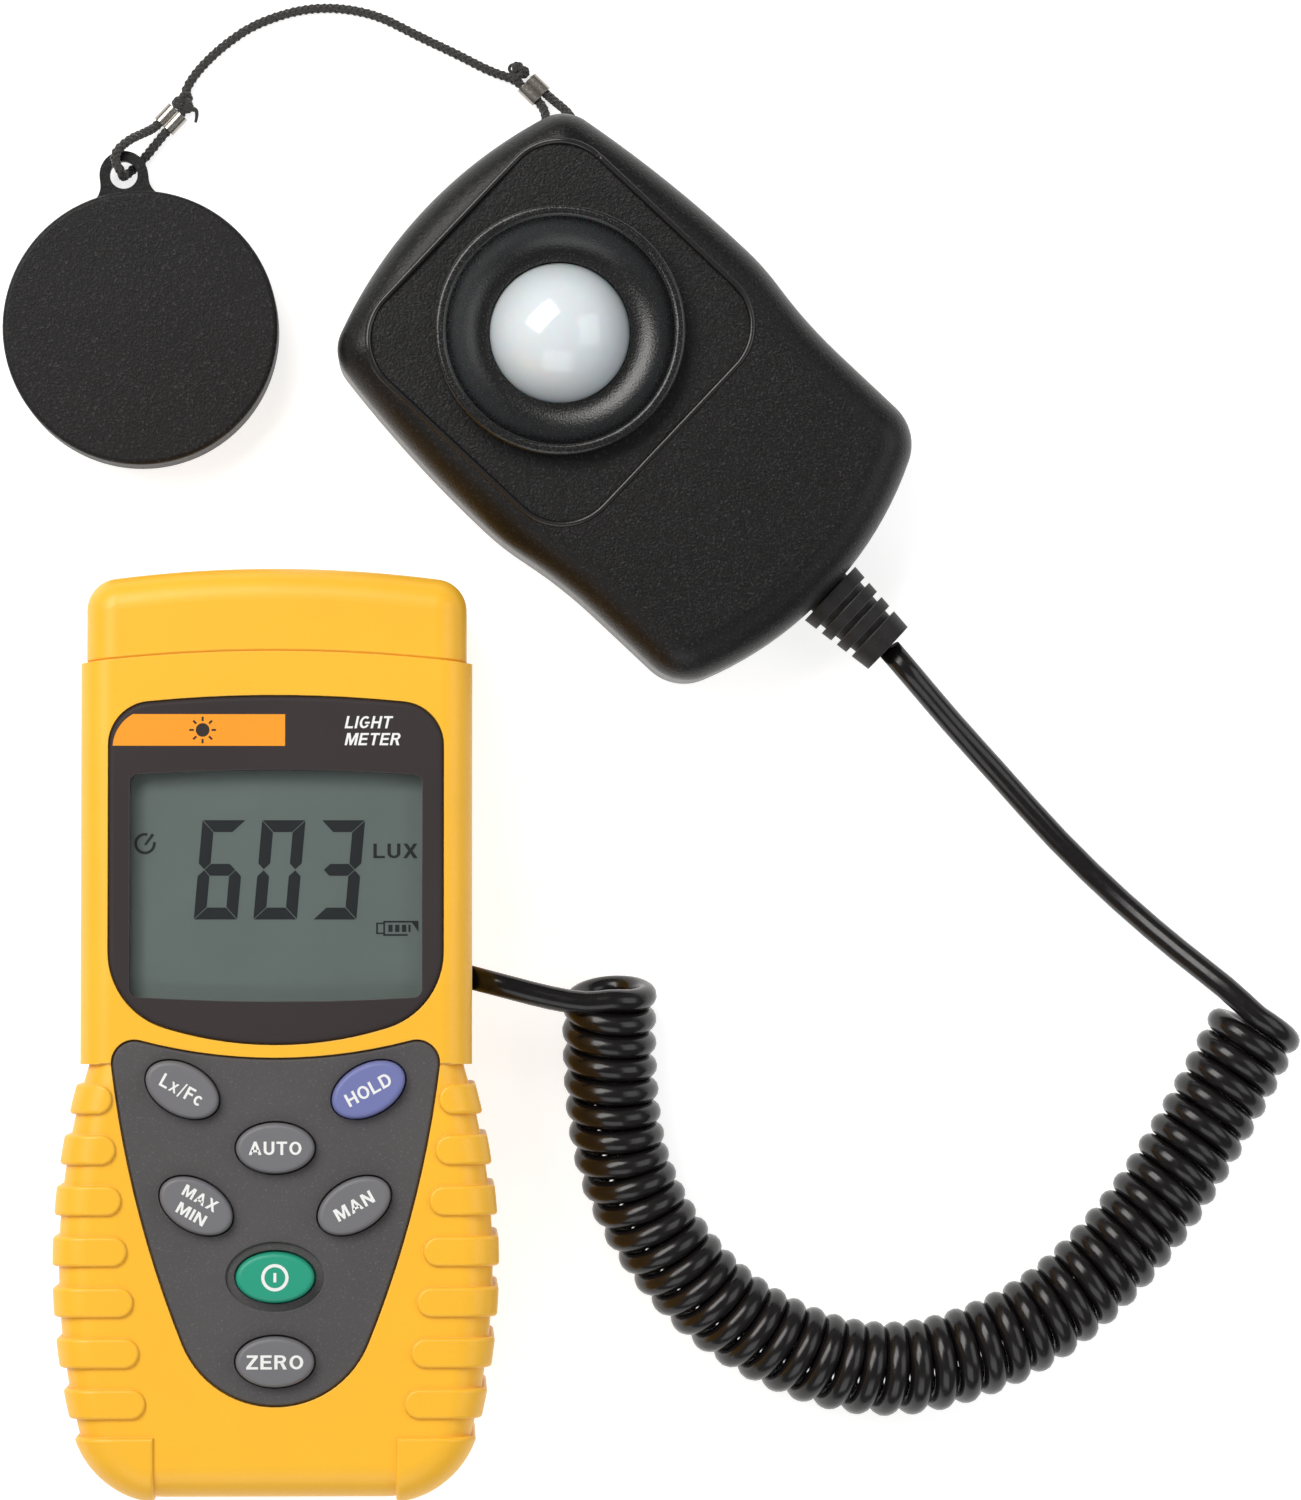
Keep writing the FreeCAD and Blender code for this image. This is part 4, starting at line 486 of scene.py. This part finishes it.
def coil_points():
    """Control points of the turns: a left-handed helix that leaves and ends at the top of the coil."""
    axis = read_route(COIL_AXIS, 24) / MM
    along = lengths_along(axis)
    tangents = np.gradient(axis, axis=0)
    tangents /= np.linalg.norm(tangents, axis=1)[:, None]
    step = 2 * math.pi / POINTS_PER_TURN
    reach = COIL_RADIUS / math.cos(step / 2)
    points = []
    for count in range(COIL_TURNS * POINTS_PER_TURN + 1):
        turn = count / POINTS_PER_TURN
        at = along[-1] * turn / COIL_TURNS
        centre = np.array([np.interp(at, along, axis[:, part]) for part in range(3)])
        forward = np.array([np.interp(at, along, tangents[:, part]) for part in range(3)])
        left = np.cross((0.0, 0.0, 1.0), forward)
        angle = 2 * math.pi * turn
        lean = np.interp(turn, *LEAN_AT_TURN)
        rise = reach * math.cos(angle)
        points.append(centre + left * reach * math.sin(angle) + np.array((0.0, 0.0, rise)) + forward * lean * rise)
    return [tuple(point) for point in points]


def add_curly_lead():
    points = list(METER_LEAD) + coil_points() + list(reversed(SENSOR_LEAD))
    line = read_route(points, 2)
    lead = new_piece("curly_lead", [tube_geometry(line, CORD_RADIUS * MM, CORD_SIDES)], MATERIALS["cord"])
    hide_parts("cord_meter_lead", "cord_coil", "cord_sensor_lead")
    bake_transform(lead)
    print("curly lead", round(float(lengths_along(line)[-1]), 4))


# ---------------------------------------------------------------- lanyard

BRAID_SIDES = 4
BRAID_WEAVE = 0.10
BRAID_RING = 0.43
BRAID_STRAND = 0.225
BRAID_TURN = 3.6
BRAID_STEP = 0.15
KNOT_HEIGHT = 1.25
KNOT_BRAID = 0.72
KNOT_TAIL = ((-14.3, 133.9, 1.6), (-13.4, 133.5, 1.6), (-12.3, 133.3, 1.2), (-12.75, 131.6, 0.8))
TAIL_ROOT, TAIL_TIP = 0.5, 0.22
BIGHT_CENTRE, BIGHT_HEIGHT = (33.3, 139.6), 1.0
BIGHT_RADIUS, BIGHT_THICK = 0.62, 0.24


def braid_parts(line, scale=1.0):
    """Eight woven strands round a core, along a line in metres."""
    line = even(line, BRAID_STEP * MM)
    along = lengths_along(line) / MM
    _, side, up = frames_along(line)
    rate = 2 * math.pi / (BRAID_TURN * scale)
    parts = [tube_geometry(line, BRAID_RING * scale * MM, 8)]
    for way in (1, -1):
        for strand in range(BRAID_SIDES):
            angle = way * rate * along + 2 * math.pi * strand / BRAID_SIDES
            ring = (BRAID_RING + way * BRAID_WEAVE * np.cos(BRAID_SIDES * rate * along)) * scale * MM
            path = line + (ring * np.cos(angle))[:, None] * side + (ring * np.sin(angle))[:, None] * up
            parts.append(tube_geometry(path, BRAID_STRAND * scale * MM, 5))
    return parts


def knot_line(x, y, height, size, turn, flat=0.7):
    """An overhand knot pulled tight, as a nearly closed three-lobed loop."""
    spots = []
    for share in np.linspace(0.04, 0.96, 60):
        angle = 2 * math.pi * share
        across = math.sin(angle) + 2 * math.sin(2 * angle)
        along = math.cos(angle) - 2 * math.cos(2 * angle)
        spots.append((across * size, along * size, -math.sin(3 * angle) * size * flat))
    swing = Matrix.Rotation(math.radians(turn), 3, "Z")
    return np.array([(swing @ Vector(spot) + Vector((x, y, height))) * MM for spot in spots])


def add_lanyard():
    line = read_route(LANYARD, 12)
    cord = new_piece("lanyard_braid", braid_parts(line), MATERIALS["braid"])
    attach(cord, "sensor_head")
    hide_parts("lanyard_cord")
    tail = read_route(KNOT_TAIL, 10)
    thin = np.linspace(TAIL_ROOT, TAIL_TIP, len(tail)) * MM
    bight = read_route([(x, y, BIGHT_HEIGHT) for x, y in arc_points(*BIGHT_CENTRE, BIGHT_RADIUS, -20, 300, 9)], 6)
    ends = (("lanyard_knot_cap_end", -14.42, 134.45, 0.43, 35, tube_geometry(tail, thin, 8)),
            ("lanyard_knot_head_end", 34.16, 139.15, 0.36, -40, tube_geometry(bight, BIGHT_THICK * MM, 8)))
    for name, x, y, size, turn, loose_end in ends:
        parts = braid_parts(knot_line(x, y, KNOT_HEIGHT, size, turn), KNOT_BRAID) + [loose_end]
        knot = new_piece(name, parts, MATERIALS["braid"])
        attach(knot, "sensor_head")
    print("lanyard", round(float(lengths_along(line)[-1]), 4))


# ---------------------------------------------------------------- lip of the head's recess

# where the head's middle lies, and how far the head is turned in degrees
HEAD_PLACE = (39.78, 99.65, 46.8)
LIP_HALF_WIDTH, LIP_BOTTOM, LIP_TOP, LIP_CORNER = 22.1, -21.6, 21.4, 8.3
LIP_RADIUS = 0.5
LIP_SUNK = 0.22
LIP_STEP = 0.5
LIP_SIDES = 12
ABOVE_HEAD = 100.0


def add_head_lip():
    """A fine moulded lip round the recess in the head, which follows the head's surface."""
    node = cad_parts["sensor_front_cover"]
    corners = [node.matrix_world @ vertex.co for vertex in node.data.vertices]
    cover = BVHTree.FromPolygons(corners, [tuple(polygon.vertices) for polygon in node.data.polygons])
    inner_x = LIP_HALF_WIDTH - LIP_CORNER
    outline = []
    for x, y, start in ((inner_x, LIP_TOP - LIP_CORNER, 0), (-inner_x, LIP_TOP - LIP_CORNER, 90),
                        (-inner_x, LIP_BOTTOM + LIP_CORNER, 180), (inner_x, LIP_BOTTOM + LIP_CORNER, 270)):
        outline += arc_points(x, y, LIP_CORNER, start, start + 90, 16)
    outline.append(outline[0])
    head_x, head_y, turn = HEAD_PLACE
    cos_turn, sin_turn = math.cos(math.radians(turn)), math.sin(math.radians(turn))
    line = []
    for x, y in even(np.array([(*point, 0.0) for point in outline]), LIP_STEP)[:, :2]:
        across, along = head_x + x * cos_turn - y * sin_turn, head_y + x * sin_turn + y * cos_turn
        hit = cover.ray_cast(Vector((across, along, ABOVE_HEAD)) * MM, Vector((0, 0, -1)))[0]
        line.append((across * MM, along * MM, hit.z - LIP_SUNK * MM))
    lip = new_piece("head_lip", [tube_geometry(np.array(line), LIP_RADIUS * MM, LIP_SIDES)], MATERIALS["lip"])
    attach(lip, "sensor_head")


# ---------------------------------------------------------------- printing

PRINT_SIZE = 0.03
# thickness of the upright and level strokes of a letter one unit tall, and the space between letters
STROKE = 0.19
BAR = 0.17
LETTER_GAP = 0.14


def bow(x, y, outer, inner, start, stop):
    """Part of an oval ring between two angles, as a closed outline."""
    angles = [math.radians(angle) for angle in np.linspace(start, stop, 20)]
    outside = [(x + outer[0] * math.cos(angle), y + outer[1] * math.sin(angle)) for angle in angles]
    return outside + [(x + inner[0] * math.cos(angle), y + inner[1] * math.sin(angle)) for angle in reversed(angles)]


STEM = rectangle(0, 0, STROKE, 1)
CROSS = [(0, 0), (0.29, 0.51), (0.02, 1), (0.24, 1), (0.41, 0.68), (0.58, 1), (0.8, 1), (0.53, 0.51), (0.82, 0),
         (0.59, 0), (0.41, 0.33), (0.22, 0)]
# advance width and outlines of each letter, one unit tall
LETTERS = {
    "A": (0.86, [[(0, 0), (0.34, 1), (0.52, 1), (0.86, 0), (0.66, 0), (0.43, 0.72), (0.2, 0)],
                 rectangle(0.2, 0.2, 0.66, 0.37)]),
    "D": (0.76, [STEM, bow(0.36, 0.5, (0.40, 0.5), (0.21, 0.33), -90, 90), rectangle(STROKE, 0, 0.36, BAR),
                 rectangle(STROKE, 1 - BAR, 0.36, 1)]),
    "E": (0.68, [STEM, rectangle(STROKE, 1 - BAR, 0.66, 1), rectangle(STROKE, 0.43, 0.62, 0.6),
                 rectangle(STROKE, 0, 0.68, BAR)]),
    "F": (0.62, [STEM, rectangle(STROKE, 1 - BAR, 0.62, 1), rectangle(STROKE, 0.43, 0.56, 0.6)]),
    "G": (0.82, [bow(0.41, 0.5, (0.41, 0.5), (0.22, 0.33), 50, 330), rectangle(0.42, 0.38, 0.8, 0.54)]),
    "H": (0.75, [STEM, rectangle(0.56, 0, 0.75, 1), rectangle(STROKE, 0.41, 0.56, 0.58)]),
    "I": (STROKE, [STEM]),
    "L": (0.64, [STEM, rectangle(STROKE, 0, 0.64, BAR)]),
    "M": (0.92, [[(0, 0), (0, 1), (0.26, 1), (0.46, 0.38), (0.66, 1), (0.92, 1), (0.92, 0), (0.73, 0), (0.73, 0.68),
                  (0.53, 0), (0.39, 0), (0.19, 0.68), (0.19, 0)]]),
    "N": (0.75, [[(0, 0), (0, 1), (0.2, 1), (0.56, 0.36), (0.56, 1), (0.75, 1), (0.75, 0), (0.55, 0), (0.19, 0.64),
                  (0.19, 0)]]),
    "O": (0.82, [bow(0.41, 0.5, (0.41, 0.5), (0.22, 0.33), 0, 360)]),
    "R": (0.75, [STEM, bow(0.40, 0.72, (0.29, 0.28), (0.10, 0.12), -90, 90), rectangle(STROKE, 0.44, 0.40, 0.6),
                 rectangle(STROKE, 0.84, 0.40, 1), [(0.33, 0.46), (0.53, 0.46), (0.75, 0), (0.53, 0)]]),
    "T": (0.72, [rectangle(0, 1 - BAR, 0.72, 1), rectangle(0.265, 0, 0.455, 1 - BAR)]),
    "U": (0.72, [rectangle(0, 0.36, STROKE, 1), rectangle(0.53, 0.36, 0.72, 1),
                 bow(0.36, 0.36, (0.36, 0.36), (0.17, 0.19), 180, 360)]),
    "X": (0.82, [CROSS]),
    "Z": (0.70, [[(0, 0), (0, 0.15), (0.44, 0.83), (0.03, 0.83), (0.03, 1), (0.69, 1), (0.69, 0.85), (0.24, 0.17),
                  (0.7, 0.17), (0.7, 0)]]),
    "x": (0.62, [[(0.75 * x, 0.73 * y) for x, y in CROSS]]),
    "c": (0.60, [bow(0.32, 0.36, (0.32, 0.37), (0.14, 0.21), 45, 315)]),
    "/": (0.37, [[(0, -0.1), (0.12, -0.1), (0.37, 1.05), (0.25, 1.05)]]),
}


def anticlockwise(outline):
    area = sum(a[0] * b[1] - b[0] * a[1] for a, b in zip(outline, outline[1:] + outline[:1]))
    return outline if area > 0 else outline[::-1]


def add_words(name, words, x, y, height, width, turn, low, material, body, slant=0.0):
    """Words in plain letters of a given height and width in millimetres, centred at a point.

    turn is the writing's direction in degrees, low the height it is printed at, and slant how far letters lean.
    """
    pen, outlines = 0.0, []
    for letter in words:
        advance, shapes = LETTERS[letter]
        outlines += [[(px + pen, py) for px, py in shape] for shape in shapes]
        pen += advance + LETTER_GAP
    across = width / (pen - LETTER_GAP)
    cos, sin = math.cos(math.radians(turn)), math.sin(math.radians(turn))
    parts = []
    for outline in outlines:
        flat = [(px * across - width / 2 + slant * (py - 0.5) * height, (py - 0.5) * height)
                for px, py in anticlockwise(outline)]
        spots = [(x + px * cos - py * sin, y + px * sin + py * cos) for px, py in flat]
        parts.append(plate(spots, low, low + PRINT_SIZE))
    piece = new_piece(name, parts, material, smooth=False)
    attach(piece, body)


SEGMENTS = {"6": "afgecd", "0": "abcdef", "3": "abgcd"}
READING = "603"
READING_LEFT, READING_BOTTOM, FIGURE_STEP = -11.5, 15.93, 8.3
CLOCK_HAND = [(-18.45, 26.35), (-18.1, 26.25), (-17.0, 27.7), (-17.35, 27.95)]
BATTERY_SIGN = (
    rectangle(13.9, 13.9, 14.15, 15.5), rectangle(14.15, 13.9, 14.9, 14.1), rectangle(14.15, 15.3, 14.9, 15.5),
    rectangle(14.9, 13.65, 15.15, 15.75), rectangle(15.15, 15.5, 19.8, 15.75), rectangle(15.15, 13.65, 18.3, 13.9),
    rectangle(15.6, 14.2, 16.2, 15.2), rectangle(16.55, 14.2, 17.15, 15.2), rectangle(17.5, 14.2, 18.1, 15.2),
    rectangle(18.4, 14.2, 18.7, 15.2), [(18.9, 15.5), (19.8, 14.2), (19.8, 15.5)])


def digit_plates(figure, left, bottom, low, high):
    """The lit bars of one slanted seven-segment figure."""
    wide, tall, bar, gap, slant = 6.05, 13.85, 1.66, 0.07, 0.0866
    half, mid = bar / 2, tall / 2
    top = [(gap, tall), (bar + gap, tall - bar), (wide - bar - gap, tall - bar), (wide - gap, tall)]
    right = [(wide, tall - gap), (wide - bar, tall - bar - gap), (wide - bar, mid + half + gap),
             (wide - half, mid + gap), (wide, mid + half + gap)]
    bars = {
        "a": top,
        "b": right,
        "c": [(x, tall - y) for x, y in reversed(right)],
        "d": [(x, tall - y) for x, y in reversed(top)],
        "e": [(wide - x, tall - y) for x, y in right],
        "f": [(wide - x, y) for x, y in reversed(right)],
        "g": [(half + gap, mid), (bar + gap, mid - half), (wide - bar - gap, mid - half), (wide - half - gap, mid),
              (wide - bar - gap, mid + half), (bar + gap, mid + half)],
    }
    return [plate([(left + x + y * slant, bottom + y) for x, y in bars[letter]], low, high)
            for letter in SEGMENTS[figure]]


def add_display():
    """What the display shows: a reading, its unit, an automatic-off clock and a battery gauge."""
    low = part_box("lcd_panel")[1].z / MM + 0.01
    high = low + PRINT_SIZE
    parts = []
    for place, figure in enumerate(READING):
        parts += digit_plates(figure, READING_LEFT + FIGURE_STEP * place, READING_BOTTOM, low, high)
    parts.append(ring_plate(-18.3, 26.5, 1.5, 1.1, 75, 370, low, high))
    parts += [plate(outline, low, high) for outline in (CLOCK_HAND, *BATTERY_SIGN)]
    reading = new_piece("lcd_reading", parts, MATERIALS["ink"], smooth=False)
    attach(reading, "handset")
    add_words("lcd_unit", "LUX", 16.6, 25.5, 2.05, 6.2, 0, low, MATERIALS["ink"], "handset")


STRIP_BOTTOM, STRIP_TOP, STRIP_RIGHT = 40.05, 44.45, 1.25
STRIP_ARC = (-17.2, 39.65, 5.5)
SUN_X, SUN_RADIUS, SUN_PRINT = -10.2, 0.95, 0.02
RAY_COUNT, RAY_START, RAY_END, RAY_HALF_WIDTH = 8, 1.25, 1.85, 0.14
WORDS_LEFT, WORDS_HEIGHT, WORDS_SLANT = 9.7, 1.7, 0.22


def add_bezel_print():
    """An orange strip with a sun sign, and the words for what the meter is."""
    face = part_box("display_bezel")[1].z / MM
    low, high = face + 0.005, face + 0.03
    corner_x, corner_y, reach = STRIP_ARC
    start = 180 - math.degrees(math.asin((STRIP_BOTTOM - corner_y) / reach))
    stop = 180 - math.degrees(math.asin((STRIP_TOP - corner_y) / reach))
    outline = [(STRIP_RIGHT, STRIP_BOTTOM), (STRIP_RIGHT, STRIP_TOP)]
    outline += arc_points(corner_x, corner_y, reach, stop, start, 10)
    strip = new_piece("bezel_strip", [plate(outline, low, high)], MATERIALS["strip"], smooth=False)
    sun_y = (STRIP_BOTTOM + STRIP_TOP) / 2
    rays = [plate(arc_points(SUN_X, sun_y, SUN_RADIUS, 0, 345), high, high + SUN_PRINT)]
    for place in range(RAY_COUNT):
        turn = math.radians(360 / RAY_COUNT * place)
        along, across = (math.cos(turn), math.sin(turn)), (-math.sin(turn), math.cos(turn))
        spots = [(SUN_X + along[0] * far + across[0] * side, sun_y + along[1] * far + across[1] * side)
                 for far, side in rectangle(RAY_START, -RAY_HALF_WIDTH, RAY_END, RAY_HALF_WIDTH)]
        rays.append(plate(spots, high, high + SUN_PRINT))
    sun = new_piece("sun_sign", rays, MATERIALS["dark_print"], smooth=False)
    for piece in (strip, sun):
        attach(piece, "handset")
    for name, words, middle, width in (("word_light", "LIGHT", 43.35, 6.4), ("word_meter", "METER", 41.0, 7.6)):
        add_words(name, words, WORDS_LEFT + width / 2, middle, WORDS_HEIGHT, width, 0, low, MATERIALS["white"],
                  "handset", slant=WORDS_SLANT)


def add_key_legends():
    """White names on the keys, which move with them."""
    legends = (("lux_fc", "Lx/Fc", 1.9, 6.4), ("hold", "HOLD", 1.85, 6.8), ("auto", "AUTO", 1.85, 7.3),
               ("man", "MAN", 1.8, 5.8), ("zero", "ZERO", 1.95, 7.9))
    for name, words, height, width in legends:
        x, y, turn = KEYS[name]
        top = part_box("key_" + name)[1].z / MM
        add_words("legend_" + name, words, x, y, height, width, turn, top, MATERIALS["white"], name + "_button")
    x, y, turn = KEYS["max_min"]
    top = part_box("key_max_min")[1].z / MM
    tilt = math.radians(turn)
    for name, words, off, width in (("legend_max", "MAX", 1.25, 5.2), ("legend_min", "MIN", -1.25, 4.3)):
        add_words(name, words, x - math.sin(tilt) * off, y + math.cos(tilt) * off, 1.6, width, turn, top,
                  MATERIALS["white"], "max_min_button")
    x, y, _ = KEYS["power"]
    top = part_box("key_power")[1].z / MM
    sign = new_piece("legend_power", [ring_plate(x, y, 1.9, 1.45, 0, 360, top, top + PRINT_SIZE),
                                      plate(rectangle(x - 0.2, y - 0.65, x + 0.2, y + 0.65), top, top + PRINT_SIZE)],
                     MATERIALS["white"], smooth=False)
    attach(sign, "power_button")


# ---------------------------------------------------------------- whole scene

add_studio()
add_curly_lead()
add_lanyard()
add_head_lip()
finish_cad_nodes()
add_display()
add_bezel_print()
add_key_legends()
